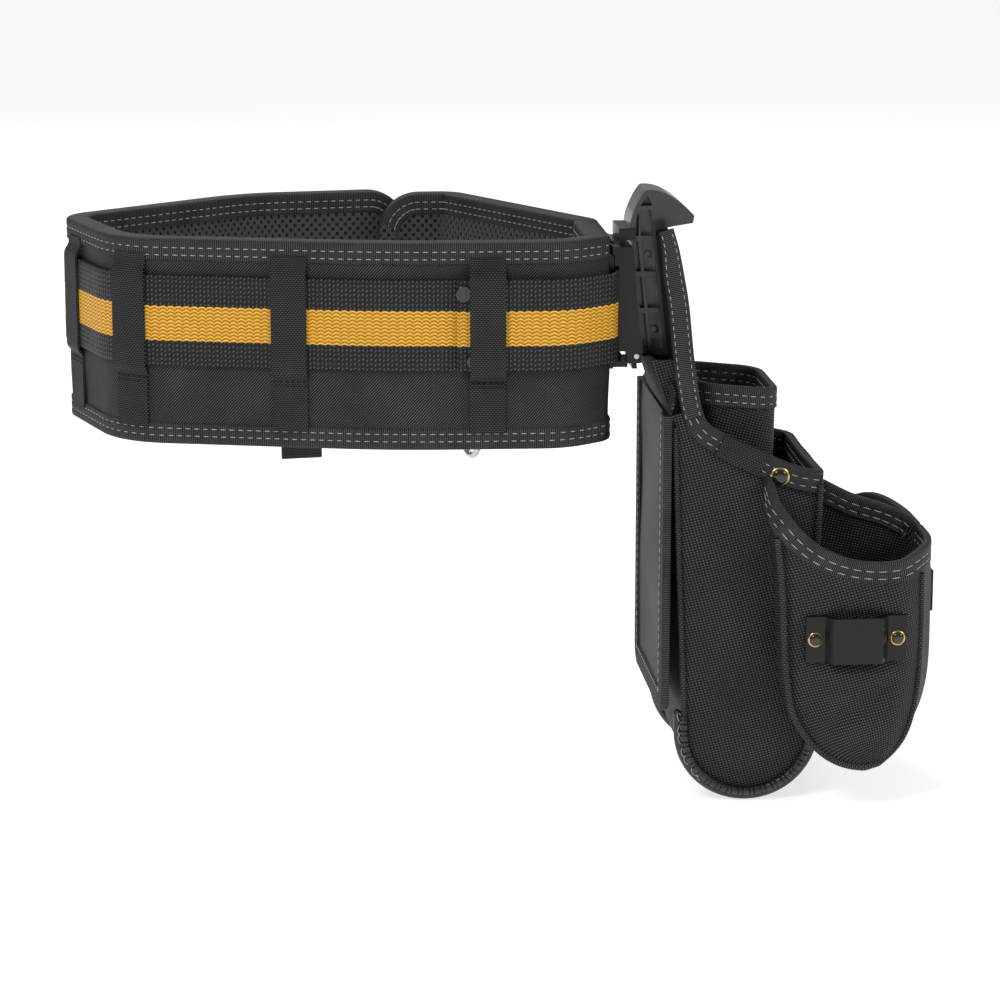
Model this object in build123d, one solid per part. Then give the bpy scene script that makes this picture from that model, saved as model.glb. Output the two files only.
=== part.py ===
from build123d import *
import os
from math import atan2, cos, sin, tan

# Tool belt: a padded waist belt, closed in front, with a holster pouch that plugs into a tilting
# hub on its right hip. Millimetres. The origin is the middle of the waist opening at half the
# pad's height, +Z up, +X towards the pouch, +Y towards the closure.

# ---- driving dimensions: waist belt ----
BELT_CORNERS = [
    (30, 98), (76, 98), (150, -28), (150, -95), (123, -115),
    (25, -112), (-127, -75), (-160, 16), (-54, 100), (96, 121),
]
BELT_RADII = [16, 16, 16, 40, 300, 50, 24, 90]
HINGE_CORNER = 6            # the bend, counted from 0, at the left side where the belt opens
PAD_HALF = 58.0             # half of the pad's height
PAD_THICK = 11.0
SHELL_THICK = 1.5
LINING_THICK = 3.0
END_PAD_STOP = (46, 114)    # where the left half of the pad stops, outside the flap
OPENING_GAP = 0.3           # half of the cut between the two halves of the belt

BINDING = 12.0              # height of every sewn binding
TAPE = 0.8                  # thickness of the binding tape

WEB_LOW, WEB_HIGH = -13.0, 38.0
WEB_THICK = 2.2
LOWER_WEB = 1.2             # offset of the webbing that lies on the pad
UPPER_WEB = 3.6             # offset of the webbing that laps over it
LOWER_WEB_STOP = (108, -114)
UPPER_WEB_STOP = (62, -113)
BUCKLE_WEB_STOP = (52, 98)
RIVET_PLACES = [((66, -113), 31.0), ((72, -113), -7.0)]
RIVET_RISE = 1.4

LOOP_WIDTH = 20.0
LOOP_THICK = 1.2
LOOP_HIGH, LOOP_LOW, LOOP_TAIL = 45.6, -18.6, -46.0
ROOT_LOOPS = {
    "loop_front_right": (79, -114, UPPER_WEB + RIVET_RISE),
    "loop_front_middle": (-30, -96, LOWER_WEB),
    "loop_front_left": (-118, -73, LOWER_WEB),
    "loop_left_side": (-149, -12, LOWER_WEB),
    "loop_far_right": (120, 22, UPPER_WEB),
}
END_LOOPS = {
    "loop_end_left": (-105, 60, LOWER_WEB),
    "loop_end_right": (6, 108, LOWER_WEB),
}

# ---- driving dimensions: closure, tool ring and hanging strap ----
STUD_X, STUD_Z = 68.0, 12.5
BUCKLE_BASE = (52.0, 84.0)
BUCKLE_HALF = 23.0
BUCKLE_PLATE_STOP = 90.0
RING_PLACE = (81.5, 88.5)
RING_Z = -64.0
RING_WIRE = 4.0
RING_WIDE, RING_HIGH = 14.0, 42.0   # of the wire's centre line
TAB_WIDTH = 8.0
STRAP_PLACE = (-18, 105)
STRAP_WIDTH = 25.0
STRAP_LOW = -111.0

# ---- driving dimensions: hub ----
HUB_Y = -60.0
HUB_HALF = 26.0
LEAN = 0.105                # the hanger and its slot lean in by this much per unit of height
PIN_X, PIN_Z = 166.5, -12.0
PIN_D = 3.0
PIN_HALF = 26.3
KNUCKLE_R = 3.2
TILT_FIT = 0.05             # radial clearance of the tilt pins in the hub face
HUB_TOP, HUB_BOTTOM = 50.5, -9.0
FACE_BACK, FACE_FRONT = 156.1, 168.8
TONGUE = (163.0, 166.0)
TONGUE_HALF = 16.0
LATCH_PIN_X, LATCH_PIN_Z = 154.0, 48.8
LATCH_PIN_D = 1.4
LATCH_HALF = 12.6

# ---- driving dimensions: pouch ----
HANGER_HALF = 15.0
HANGER_WEB = 8.5            # half of the hanger's middle block, between the cells of its sides
HANGER_X = (169.3, 184.5)
HANGER_BACK = [(165.2, 49.5), (163.7, 53.5), (163.3, 59.0), (164.2, 65.0), (166.4, 71.0), (169.2, 76.6), (172.6, 81.2)]
HANGER_TOP = [(172.6, 81.2), (178.4, 81.0), (183.1, 79.7), (187.9, 77.3), (193.9, 72.8), (200.3, 66.6)]
HANDLE_FOOT = [(199.6, 62.3), (187.9, 60.5), (180.5, 59.0)]
TOP_CELL = [(169.3, 72.6), (173.3, 78.4), (176.0, 72.6)]
SLIM_CELL = [(166.0, 55.5), (168.4, 55.5), (168.6, 69.8), (167.8, 69.8)]
CELL_COLUMNS = [(171.0, 173.6), (175.6, 182.6)]
CELL_ROWS = [(-9.5, 11), (14, 32), (35, 52.5), (55.5, 70)]
PANEL = (184.9, 193.5)
PANEL_HIGH, PANEL_LOW = 58.0, -44.0
WALL = 2.2
POCKET_SIDE = [(184, -36), (194, -262), (264, -262), (269.5, -36)]
POCKET_RADIUS = 36.0
POCKET_HALF = 55.0
POCKET_RIM = [(150, -38), (186, -40), (205, -45), (248, -74), (270, -84), (300, -94)]
SLEEVE_X = (200.5, 246.0)
SLEEVE_HALF = 35.0
SLEEVE_Z = (-150.0, -32.0)
FRONT_SIDE = [(240, -60), (254, -247), (332, -247), (339.5, -60)]
FRONT_RADIUS = 38.0
FRONT_PLAN = [
    (243, -59.4), (243, -76), (248, -83), (322, -83),
    (338, -64), (338, -1), (272, -1), (272, -59.4),
]
FRONT_PANEL = [(247.5, -126), (254, -246), (323, -246), (322, -126)]
FRONT_RIM = [(200, -66), (240, -82), (262, -110), (298, -122), (338, -117), (380, -112)]
PIPE = 1.6
BUMPER_HIGH = -215.0
FLAP_X = (178.3, 182.3)
FLAP_HALF = 60.0
FLAP_Z = (-214.5, -40.0)
CLIP_X, CLIP_Z = 285.5, -165.0
CLIP_LONG, CLIP_TALL = 58.0, 27.0
CLIP_FACE_Y = -143.0
SNAP_X, SNAP_Z = 248.0, -81.0


class StripPath:
    """Corners joined by straight runs and tangent arcs, every turn to the right.

    A distance runs along the pad's outer face; an offset is how far outside that face it is.
    """

    def __init__(self, corners, radii):
        self.runs = []
        self.bends = []
        self.length = 0.0
        here = Vector(*corners[0])
        for before, corner, after, radius in zip(corners, corners[1:], corners[2:], radii):
            corner = Vector(*corner)
            arriving = (corner - Vector(*before)).normalized()
            leaving = (Vector(*after) - corner).normalized()
            turn = atan2(arriving.cross(leaving).length, arriving.dot(leaving))
            reach = radius * tan(turn / 2)
            self.add_line(here, corner - arriving * reach)
            centre = corner - arriving * reach + Vector(arriving.Y, -arriving.X) * radius
            self.bends.append(self.length + radius * turn / 2)
            self.add_arc(centre, radius, corner - arriving * reach - centre, turn)
            here = corner + leaving * reach
        self.add_line(here, Vector(*corners[-1]))

    def add_line(self, start, end):
        along = (end - start).normalized()
        length = (end - start).length

        def place(distance, offset):
            return start + along * distance + Vector(-along.Y, along.X) * offset

        self.runs.append((self.length, self.length + length, place, False))
        self.length += length

    def add_arc(self, centre, radius, arm, turn):
        first = atan2(arm.Y, arm.X)

        def place(distance, offset):
            angle = first - distance / radius
            return centre + Vector(cos(angle), sin(angle)) * (radius + offset)

        self.runs.append((self.length, self.length + radius * turn, place, True))
        self.length += radius * turn

    def point(self, distance, offset=0.0):
        for start, stop, place, _ in self.runs:
            if distance <= stop:
                return place(distance - start, offset)
        return place(distance - start, offset)

    def outward(self, distance):
        return (self.point(distance, 1.0) - self.point(distance)).normalized()

    def edges(self, start, stop, offset):
        made = []
        for first, last, place, bent in self.runs:
            low, high = max(start, first), min(stop, last)
            if high - low < 1e-6:
                continue
            ends = [place(low - first, offset), place(high - first, offset)]
            if bent:
                ends.insert(1, place((low + high) / 2 - first, offset))
                made.append(Edge.make_three_point_arc(*ends))
            else:
                made.append(Edge.make_line(*ends))
        return made

    def near(self, x, y):
        """The distance along the path of its nearest point to (x, y)."""
        target = Vector(x, y)
        steps = [index * 0.25 for index in range(int(self.length / 0.25) + 1)]
        return min(steps, key=lambda distance: (self.point(distance) - target).length)

    def stand(self, distance, offset, height):
        """A plane on the belt whose normal points outward and whose X follows the belt."""
        out = self.outward(distance)
        at = self.point(distance, offset)
        return Plane(origin=(at.X, at.Y, height), x_dir=(out.Y, -out.X, 0), z_dir=(out.X, out.Y, 0))


WAIST = StripPath(BELT_CORNERS, BELT_RADII)
SPLIT = WAIST.bends[HINGE_CORNER]
PAD_STOP = WAIST.near(*END_PAD_STOP)


def band(start, stop, inner, outer, low, high):
    """A strip that follows the belt between two distances, two offsets and two heights."""
    sides = WAIST.edges(start, stop, inner) + WAIST.edges(start, stop, outer)
    ends = [Edge.make_line(WAIST.point(at, inner), WAIST.point(at, outer)) for at in (start, stop)]
    return Pos(0, 0, low) * extrude(make_face(sides + ends), amount=high - low, dir=(0, 0, 1))


def around(centre, width, inner, outer, low, high):
    return band(centre - width / 2, centre + width / 2, inner, outer, low, high)


def outline(points):
    return make_face(Polyline(*points, close=True))


def round_footed(points, radius):
    """The outline with its two lowest corners rounded."""
    face = outline(points)
    return fillet(face.vertices().sort_by(Axis.Y)[:2], radius)


def across(shape, low, high):
    """An outline drawn as (x, z), filled between two Y values."""
    return extrude(Plane.XZ.offset(-low) * shape, amount=high - low, dir=(0, 1, 0))


def plug(x, z, diameter, low, high):
    """A round bar along Y."""
    return across(Pos(x, z) * Circle(diameter / 2), low, high)


def block(x, y, z):
    """A box from three (low, high) pairs."""
    size = [high - low for low, high in (x, y, z)]
    middle = [(high + low) / 2 for low, high in (x, y, z)]
    return Pos(*middle) * Box(*size)


def leaning(x, low, high):
    """The (x, z) outline of a leaning plate, with its thickness given at z = 0."""
    corners = [(x[0], low), (x[1], low), (x[1], high), (x[0], high)]
    return outline([(across_x - LEAN * z, z) for across_x, z in corners])


def both_sides(shape):
    """The shape and its mirror image across the pouch's middle plane."""
    return [shape, mirror(shape, about=Plane.XZ.offset(-HUB_Y))]


def save(name, *solids):
    shape = solids[0] if len(solids) == 1 else Compound(children=list(solids))
    shape.label = name
    export_step(shape, f"parts/{name}.step")


# ---- waist belt ----
def make_pads():
    """Outer fabric, foam and mesh lining of each half, and the bindings over their edges."""
    halves = {"": (0, SPLIT - OPENING_GAP), "end_": (SPLIT + OPENING_GAP, PAD_STOP)}
    for prefix, (start, stop) in halves.items():
        layers = {
            "pad_shell": (-SHELL_THICK, 0),
            "pad_core": (LINING_THICK - PAD_THICK, -SHELL_THICK),
            "pad_lining": (-PAD_THICK, LINING_THICK - PAD_THICK),
        }
        for name, (inner, outer) in layers.items():
            save(prefix + name, band(start, stop, inner, outer, -PAD_HALF, PAD_HALF))
        pad = band(start, stop, -PAD_THICK, 0, -PAD_HALF, PAD_HALF)
        reach = PAD_HALF + TAPE
        heights = {"top_binding": (reach - BINDING, reach), "bottom_binding": (-reach, BINDING - reach)}
        for name, (low, high) in heights.items():
            save(prefix + name, band(start, stop, -PAD_THICK - TAPE, TAPE, low, high) - pad)


def rivet(plane, depth, shank, head, rise):
    """A shank that goes down from the plane, under a domed head."""
    dome = extrude(Circle(head / 2), amount=rise)
    dome = fillet(dome.edges().filter_by(GeomType.CIRCLE).sort_by(Axis.Z)[-1], rise * 0.6)
    stem = Pos(0, 0, -depth) * extrude(Circle(shank / 2), amount=depth)
    return plane * (dome + stem)


def make_webbing():
    """The left and right webbing of the belt, riveted where they lap, and the closing end."""
    shank = 3.0
    top = UPPER_WEB + WEB_THICK
    places = [(WAIST.near(*spot), height) for spot, height in RIVET_PLACES]
    depth = top - LOWER_WEB
    rivets = [rivet(WAIST.stand(at, top, z), depth, shank, 9.5, RIVET_RISE) for at, z in places]
    holes = []
    for at, z in places:
        hole = extrude(Circle(shank / 2 + 0.05), amount=top)
        holes.append(WAIST.stand(at, 0.5, z) * hole)
    ends = (WAIST.near(*BUCKLE_WEB_STOP), WAIST.near(*UPPER_WEB_STOP))
    right = band(*ends, UPPER_WEB, top, WEB_LOW, WEB_HIGH)
    ends = (WAIST.near(*LOWER_WEB_STOP), SPLIT - OPENING_GAP)
    left = band(*ends, LOWER_WEB, LOWER_WEB + WEB_THICK, WEB_LOW, WEB_HIGH)
    save("webbing_right", right - holes)
    save("webbing_left", left - holes)
    save("webbing_rivets", *rivets)


def make_loop(place, over, width=LOOP_WIDTH, tail_low=LOOP_TAIL):
    """A tape loop that is sewn to the pad above and below the webbing that runs through it."""
    centre = WAIST.near(*place)
    inner = over + WEB_THICK + 0.4
    outer = inner + LOOP_THICK
    return (
        around(centre, width, inner, outer, LOOP_LOW, LOOP_HIGH)
        + around(centre, width, 0, outer, LOOP_HIGH - LOOP_THICK, LOOP_HIGH)
        + around(centre, width, 0, outer, LOOP_LOW, LOOP_LOW + LOOP_THICK)
        + around(centre, width, 0, LOOP_THICK, tail_low, LOOP_LOW + LOOP_THICK)
    )


def make_loops():
    for name, (x, y, over) in (ROOT_LOOPS | END_LOOPS).items():
        save(name, make_loop((x, y), over))


def make_closure():
    """A stud on the right webbing, and the slotted plate on the left webbing that drops over it."""
    base_y = BELT_CORNERS[0][1] + UPPER_WEB + WEB_THICK + 0.2
    heights = (STUD_Z - BUCKLE_HALF, STUD_Z + BUCKLE_HALF)
    base = block(BUCKLE_BASE, (base_y, base_y + 3), heights)
    base += plug(STUD_X, STUD_Z, 18, base_y, 112.4)
    stud = plug(STUD_X, STUD_Z, 7, base_y + 1, 119.0) + plug(STUD_X, STUD_Z, 12, 119.0, 122.0)
    save("buckle_base", base - plug(STUD_X, STUD_Z, 7, base_y, 130))
    save("buckle_stud", stud)

    first = PAD_STOP + 2.5
    last = WAIST.near(BUCKLE_PLATE_STOP, 120)
    plate = band(first, last, -2, 1, heights[0] - 6, heights[1] + 6)
    slot = (first + 4, first + 8.5)
    plate -= band(*slot, -3, 2, WEB_LOW - 0.5, WEB_HIGH + 0.5)
    stud_at = WAIST.near(STUD_X - 1, 117)
    plate -= around(stud_at, 22, -3, 2, STUD_Z - 9, STUD_Z + 9)
    save("buckle_plate", plate)

    web = (WEB_LOW, WEB_HIGH)
    over, turn = LOWER_WEB + WEB_THICK, slot[0] + 1
    run = band(SPLIT + OPENING_GAP, turn + WEB_THICK, LOWER_WEB, over, *web)
    run += band(turn, turn + WEB_THICK, -2.3 - WEB_THICK, over, *web)
    run += band(first - 1.5, turn + WEB_THICK, -2.3 - WEB_THICK, -2.3, *web)
    save("end_webbing", run)


def make_ring():
    """The oval steel ring that hangs in the eye of its own tape tab."""
    place = WAIST.near(*RING_PLACE)
    centre = 5.2
    eye = RING_WIRE / 2 + 0.8
    stand = WAIST.stand(place, centre, RING_Z)
    along = Plane(origin=stand.origin, x_dir=stand.z_dir, z_dir=stand.x_dir)
    sleeve = Circle(eye + LOOP_THICK) - Circle(eye)
    sleeve = along * Pos(0, 0, -TAB_WIDTH / 2) * extrude(sleeve, amount=TAB_WIDTH)
    back = centre - eye - LOOP_THICK
    tail = around(place, TAB_WIDTH, back, back + LOOP_THICK, RING_Z, LOOP_LOW + LOOP_THICK)
    tail -= along * Pos(0, 0, -TAB_WIDTH) * extrude(Circle(eye), amount=TAB_WIDTH * 2)
    save("ring_tab", make_loop(RING_PLACE, UPPER_WEB, TAB_WIDTH, LOOP_LOW) + tail + sleeve)

    corners = [(-RING_WIDE / 2, 0), (RING_WIDE / 2, 0)]
    corners += [(RING_WIDE / 2, RING_HIGH), (-RING_WIDE / 2, RING_HIGH)]
    line = FilletPolyline(*corners, radius=[3, 3, 6.9, 6.9], close=True)
    section = Plane(origin=(0, 0, 0), z_dir=(1, 0, 0)) * Circle(RING_WIRE / 2)
    save("tool_ring", stand * sweep(section, path=line))


def make_strap():
    """A wide tape, doubled back to hang as a flat loop below the pad."""
    centre = WAIST.near(*STRAP_PLACE)
    gap, tape = 1.4, 1.5
    inner = LOWER_WEB + WEB_THICK + 0.4
    outer = inner + 2 * tape + gap
    strap = around(centre, STRAP_WIDTH, inner, inner + tape, STRAP_LOW, LOOP_HIGH)
    strap += around(centre, STRAP_WIDTH, 0, inner + tape, LOOP_HIGH - tape, LOOP_HIGH)
    strap += around(centre, STRAP_WIDTH, outer - tape, outer, STRAP_LOW, -20)
    strap += around(centre, STRAP_WIDTH, inner, outer, -20, -20 + tape)
    strap += around(centre, STRAP_WIDTH, inner, outer, STRAP_LOW, STRAP_LOW + tape)
    save("hanging_strap", strap)


# ---- hub ----
def near_hub(half):
    return HUB_Y - half, HUB_Y + half


def make_back_plate():
    """The plate behind the webbing, the knuckles at its foot and the rib that the latch holds."""
    plate = block((150.3, 153.2), near_hub(HUB_HALF), (-19, 45.9))
    plate += block((153.2, 161), near_hub(21.4), (-19, -15.2))
    plate += block((152.4, 153.2), near_hub(LATCH_HALF), (45.9, 46.9))
    knuckle = plug(PIN_X, PIN_Z, KNUCKLE_R * 2, HUB_Y + 17.2, HUB_Y + 21.4)
    knuckle += block((158, PIN_X), (HUB_Y + 17.2, HUB_Y + 21.4), (-19, PIN_Z - 0.2))
    knuckle -= block((162, 170), (HUB_Y + 17, HUB_Y + 22), (-20, PIN_Z - KNUCKLE_R))
    knuckle -= plug(PIN_X, PIN_Z, PIN_D + 0.04, HUB_Y, HUB_Y + HUB_HALF)
    save("hub_back_plate", Part() + [plate, *both_sides(knuckle)])
    save("hub_pins", *both_sides(plug(PIN_X, PIN_Z, PIN_D, HUB_Y + 17, HUB_Y + PIN_HALF)))


def make_hub_face():
    """The tilting face, with the slot that takes the pouch's tongue and lugs for the latch."""
    corners = [(FACE_BACK, HUB_BOTTOM), (FACE_FRONT - LEAN * HUB_BOTTOM, HUB_BOTTOM)]
    corners += [(FACE_FRONT - LEAN * HUB_TOP, HUB_TOP), (FACE_BACK, HUB_TOP)]
    face = across(outline(corners), *near_hub(HUB_HALF))
    slot = (TONGUE[0] - 0.3, TONGUE[1] + 0.3)
    face -= across(leaning(slot, -30, 70), *near_hub(TONGUE_HALF + 0.4))
    side = (HUB_Y + LATCH_HALF + 0.3, HUB_Y + HUB_HALF)
    lug = block((153.5, FACE_BACK), side, (40, 51)) + block((152.4, FACE_BACK), side, (46.6, 51))
    ear = block((161, 169.4), (HUB_Y + 21.7, HUB_Y + 25.9), (-16, HUB_BOTTOM))
    notch = plug(PIN_X, PIN_Z, KNUCKLE_R * 2 + 1.2, HUB_Y + 16.8, HUB_Y + 21.7)
    face = Part() + [face, *both_sides(lug), *both_sides(ear)] - both_sides(notch)
    bore = PIN_D / 2 + TILT_FIT
    face -= plug(PIN_X, PIN_Z, bore * 2, *near_hub(HUB_HALF + 1))
    face -= plug(LATCH_PIN_X, LATCH_PIN_Z, LATCH_PIN_D + 0.04, *near_hub(16))
    save("hub_face", face)


def make_latch():
    """The release lever at the top of the hub, on its own pin."""
    corners = [(155.3, 46.4), (155.3, 50.9), (155.0, 52.4), (153.5, 52.4), (153.2, 50.9)]
    corners += [(151.6, 49.4), (151.6, 46.3), (152.2, 46.3), (152.2, 47.3), (154.2, 47.3), (154.2, 46.4)]
    latch = across(outline(corners), *near_hub(LATCH_HALF))
    save("hub_latch", latch - plug(LATCH_PIN_X, LATCH_PIN_Z, LATCH_PIN_D + 0.1, *near_hub(16)))
    save("latch_pin", plug(LATCH_PIN_X, LATCH_PIN_Z, LATCH_PIN_D, *near_hub(15.8)))


# ---- pouch ----
def make_hanger():
    """The moulded hanger: ribbed body with open cells on both sides, handle, and tongue."""
    inner, outer = HANGER_X
    foot = [(outer - LEAN * PANEL_HIGH, PANEL_HIGH), (outer + LEAN * 14, -14), (inner + LEAN * 12, -12)]
    edge = Polyline(HANGER_TOP[-1], *HANDLE_FOOT, *foot, HANGER_BACK[0])
    body = make_face(Spline(*HANGER_BACK) + Spline(*HANGER_TOP) + edge)
    plate = across(body, *near_hub(HANGER_HALF))
    tongue = across(leaning(TONGUE, -21, 56), *near_hub(TONGUE_HALF))
    tongue += across(outline([(157.2, 53), (167, 53), (167, 60), (157.2, 60)]), *near_hub(TONGUE_HALF))
    save("hanger_tongue", tongue - plate)
    depth = (HUB_Y + HANGER_WEB, HUB_Y + HANGER_HALF + 1)
    cells = [leaning(CELL_COLUMNS[0], *row) for row in CELL_ROWS[:-1]]
    cells += [leaning(CELL_COLUMNS[1], *row) for row in CELL_ROWS]
    for cell in cells + [outline(TOP_CELL), outline(SLIM_CELL)]:
        plate -= both_sides(across(cell, *depth))
    rivets = []
    for row in (0, 2):
        x = sum(CELL_COLUMNS[1]) / 2 - LEAN * sum(CELL_ROWS[row]) / 2
        z = sum(CELL_ROWS[row]) / 2
        plate -= plug(x, z, 2.1, *near_hub(HANGER_WEB))
        heads = both_sides(plug(x, z, 4.2, HUB_Y + HANGER_WEB, HUB_Y + HANGER_WEB + 1.2))
        rivets.append(Part() + [plug(x, z, 2.0, *near_hub(HANGER_WEB + 0.6)), *heads])
    save("hanger_plate", plate)
    save("hanger_rivets", *rivets)


def wing(top_half, bottom_half, margin=0.0):
    """The back panel's outline seen along X, filled through X."""
    high, low = PANEL_HIGH + margin, PANEL_LOW
    points = [(HUB_Y - top_half, high), (HUB_Y + top_half, high)]
    points += [(HUB_Y + bottom_half, low), (HUB_Y - bottom_half, low)]
    face = Plane.YZ * outline(points)
    return Pos(150, 0, 0) * extrude(face, amount=80, dir=(1, 0, 0))


def make_back_panel():
    """The padded panel behind the hanger, with a bound edge down each side."""
    top, bottom = 33.0, 51.0
    panel = across(leaning(PANEL, -60, 70), -150, 30) & wing(top, bottom)
    save("back_panel", panel)
    sleeve = (PANEL[0] - 0.3, PANEL[1] + TAPE)
    tape = across(leaning(sleeve, -60, 70), -150, 30) & wing(top + TAPE, bottom + TAPE)
    tape = tape - wing(top - BINDING, bottom - BINDING, 1) - panel
    far = tape & block((150, 230), (HUB_Y, HUB_Y + 90), (-60, 80))
    for name, shape in zip(("wing_binding_far", "wing_binding_near"), both_sides(far)):
        save(name, shape)


def under_rim(rim, drop=0.0):
    """Everything below the rim line, lowered by drop."""
    points = [(x, z - drop) for x, z in rim] + [(rim[-1][0], -400), (rim[0][0], -400)]
    return across(outline(points), -200, 80)


def sleeve_of(solid_at, rim):
    """The pocket made of a solid that can be drawn grown or shrunk, and its rim binding."""
    below = under_rim(rim)
    pocket = (solid_at(0) & below) - solid_at(-WALL)
    tape = (solid_at(TAPE) - solid_at(-WALL - TAPE)) & under_rim(rim, -TAPE)
    return pocket, tape - under_rim(rim, BINDING) - (solid_at(0) & below - solid_at(-WALL))


def edge_cord(side, rim, grow_in, grow_out, low, high):
    """A cord round the outline of a pocket's side, seen along Y, below its rim."""
    ring = across(offset(side, amount=grow_out), low, high) - across(offset(side, amount=grow_in), low, high)
    return ring & under_rim(rim, BINDING + TAPE)


def make_main_pocket():
    side = round_footed(POCKET_SIDE, POCKET_RADIUS)

    def solid_at(grow):
        half = POCKET_HALF + grow
        return across(offset(side, amount=grow) if grow else side, *near_hub(half))

    pocket, rim = sleeve_of(solid_at, POCKET_RIM)
    save("main_pocket", pocket)
    save("main_rim_binding", rim)
    start = HUB_Y + POCKET_HALF + 0.1
    cord = edge_cord(side, POCKET_RIM, -PIPE, PIPE, start, start + 3.3)
    bumper = edge_cord(side, POCKET_RIM, PIPE + 0.3, PIPE + 3.6, start - 3, start + 4)
    bumper &= block((150, 330), (-200, 80), (-300, BUMPER_HIGH))
    for name, shape in (("main_piping", cord), ("bumper", bumper)):
        for suffix, solid in zip(("_far", "_near"), both_sides(shape)):
            save(name + suffix, solid)


def make_inner_sleeve():
    """The upright pocket inside the main pocket."""
    low, high = SLEEVE_Z
    wall = 1.6
    sleeve = block(SLEEVE_X, near_hub(SLEEVE_HALF), SLEEVE_Z)
    inside = (SLEEVE_X[0] + wall, SLEEVE_X[1] - wall)
    sleeve -= block(inside, near_hub(SLEEVE_HALF - wall), (low + wall, high + 1))
    tape = (SLEEVE_X[0] - TAPE, SLEEVE_X[1] + TAPE)
    rim = block(tape, near_hub(SLEEVE_HALF + TAPE), (high - BINDING, high + TAPE))
    inside = (inside[0] + TAPE, inside[1] - TAPE)
    rim -= block(inside, near_hub(SLEEVE_HALF - wall - TAPE), (low, high + 2))
    save("inner_sleeve", sleeve)
    save("sleeve_rim_binding", rim - sleeve)


def front_solid(grow):
    """One front pocket, which wraps a corner of the main pocket."""
    side = round_footed(FRONT_SIDE, FRONT_RADIUS)
    plan = outline([(x, y + HUB_Y) for x, y in FRONT_PLAN])
    if grow:
        side = offset(side, amount=grow)
        plan = offset(plan, amount=grow)
    prism = extrude(Pos(0, 0, -300) * plan, amount=290, dir=(0, 0, 1))
    return across(side, -220, 60) & prism


def make_front_pockets():
    pocket, rim = sleeve_of(front_solid, FRONT_RIM)
    side = round_footed(FRONT_PANEL, FRONT_RADIUS - 6)
    edge_y = FRONT_PLAN[3][1] + HUB_Y
    cord = edge_cord(side, FRONT_RIM, -3.4, -0.4, edge_y - 2.6, edge_y - 0.1)
    rim -= cord
    shank = 3.0
    holes = [plug(x, CLIP_Z, shank + 0.1, CLIP_FACE_Y - 1, CLIP_FACE_Y + WALL + 1) for x in clip_feet()]
    far = mirror(pocket, about=Plane.XZ.offset(-HUB_Y))
    save("front_pocket_near", pocket - holes)
    save("front_pocket_far", far)
    for name, shape in (("front_rim", rim), ("front_piping", cord)):
        for suffix, solid in zip(("_near", "_far"), both_sides(shape)):
            save(name + suffix, solid)


def clip_feet():
    reach = CLIP_LONG / 2 - 5.5
    return CLIP_X - reach, CLIP_X + reach


def make_tape_clip():
    """The raised clip on the near pocket that a tape measure hooks on, and its two rivets."""
    base, thick, rise = CLIP_FACE_Y - 0.1, 2.2, 8.4
    half = CLIP_LONG / 2
    points = [(-half, 0), (-half + 12, 0), (-half + 17, rise - thick), (half - 17, rise - thick)]
    points += [(half - 12, 0), (half, 0), (half, thick), (half - 11, thick), (half - 15, rise)]
    points += [(15 - half, rise), (11 - half, thick), (-half, thick)]
    face = make_face(Polyline(*[(CLIP_X + x, base - y) for x, y in points], close=True))
    clip = Pos(0, 0, CLIP_Z - CLIP_TALL / 2) * extrude(face, amount=CLIP_TALL, dir=(0, 0, 1))
    rivets = []
    for x in clip_feet():
        plane = Plane(origin=(x, base - thick, CLIP_Z), x_dir=(1, 0, 0), z_dir=(0, -1, 0))
        rivets.append(rivet(plane, thick + WALL + 1, 3.0, 8.5, 1.8))
        clip -= plug(x, CLIP_Z, 3.1, base - rise, base + 1)
    save("tape_clip", clip)
    save("tape_clip_rivets", *rivets)


def make_snaps():
    """A press stud on the main rim at each side of the pouch."""
    start = HUB_Y + POCKET_HALF + TAPE + 0.1
    save("rim_snaps", *both_sides(plug(SNAP_X, SNAP_Z, 11, start, start + 2.4)))


def make_side_tab():
    """A small folded tape tab on the near pocket's outer face."""
    save("side_tab", block((338.2, 340.2), (-84, -68), (-166, -142)))


def make_leg_flap():
    """The panel that lies between the pouch and the leg, its bound edge and the tape it hangs from."""
    low, high = FLAP_Z
    tape = TAPE / 2
    flap = block((FLAP_X[0] + tape, FLAP_X[1] - tape), near_hub(FLAP_HALF - tape), (low + tape, high))
    frame = block(FLAP_X, near_hub(FLAP_HALF), (low, high))
    frame -= block(FLAP_X, near_hub(FLAP_HALF - BINDING), (low + BINDING, high + 1))
    save("leg_flap", flap)
    save("leg_flap_binding", frame - flap)
    strip = outline([(171.3, -14), (172.6, -13.4), (182.6, -39.2), (181.1, -39.6)])
    save("flap_strip", across(strip, *near_hub(FLAP_HALF - 16)))


os.makedirs("parts", exist_ok=True)
make_pads()
make_webbing()
make_loops()
make_closure()
make_ring()
make_strap()
make_back_plate()
make_hub_face()
make_latch()
make_hanger()
make_back_panel()
make_main_pocket()
make_inner_sleeve()
make_front_pockets()
make_tape_clip()
make_snaps()
make_side_tab()
make_leg_flap()
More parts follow.
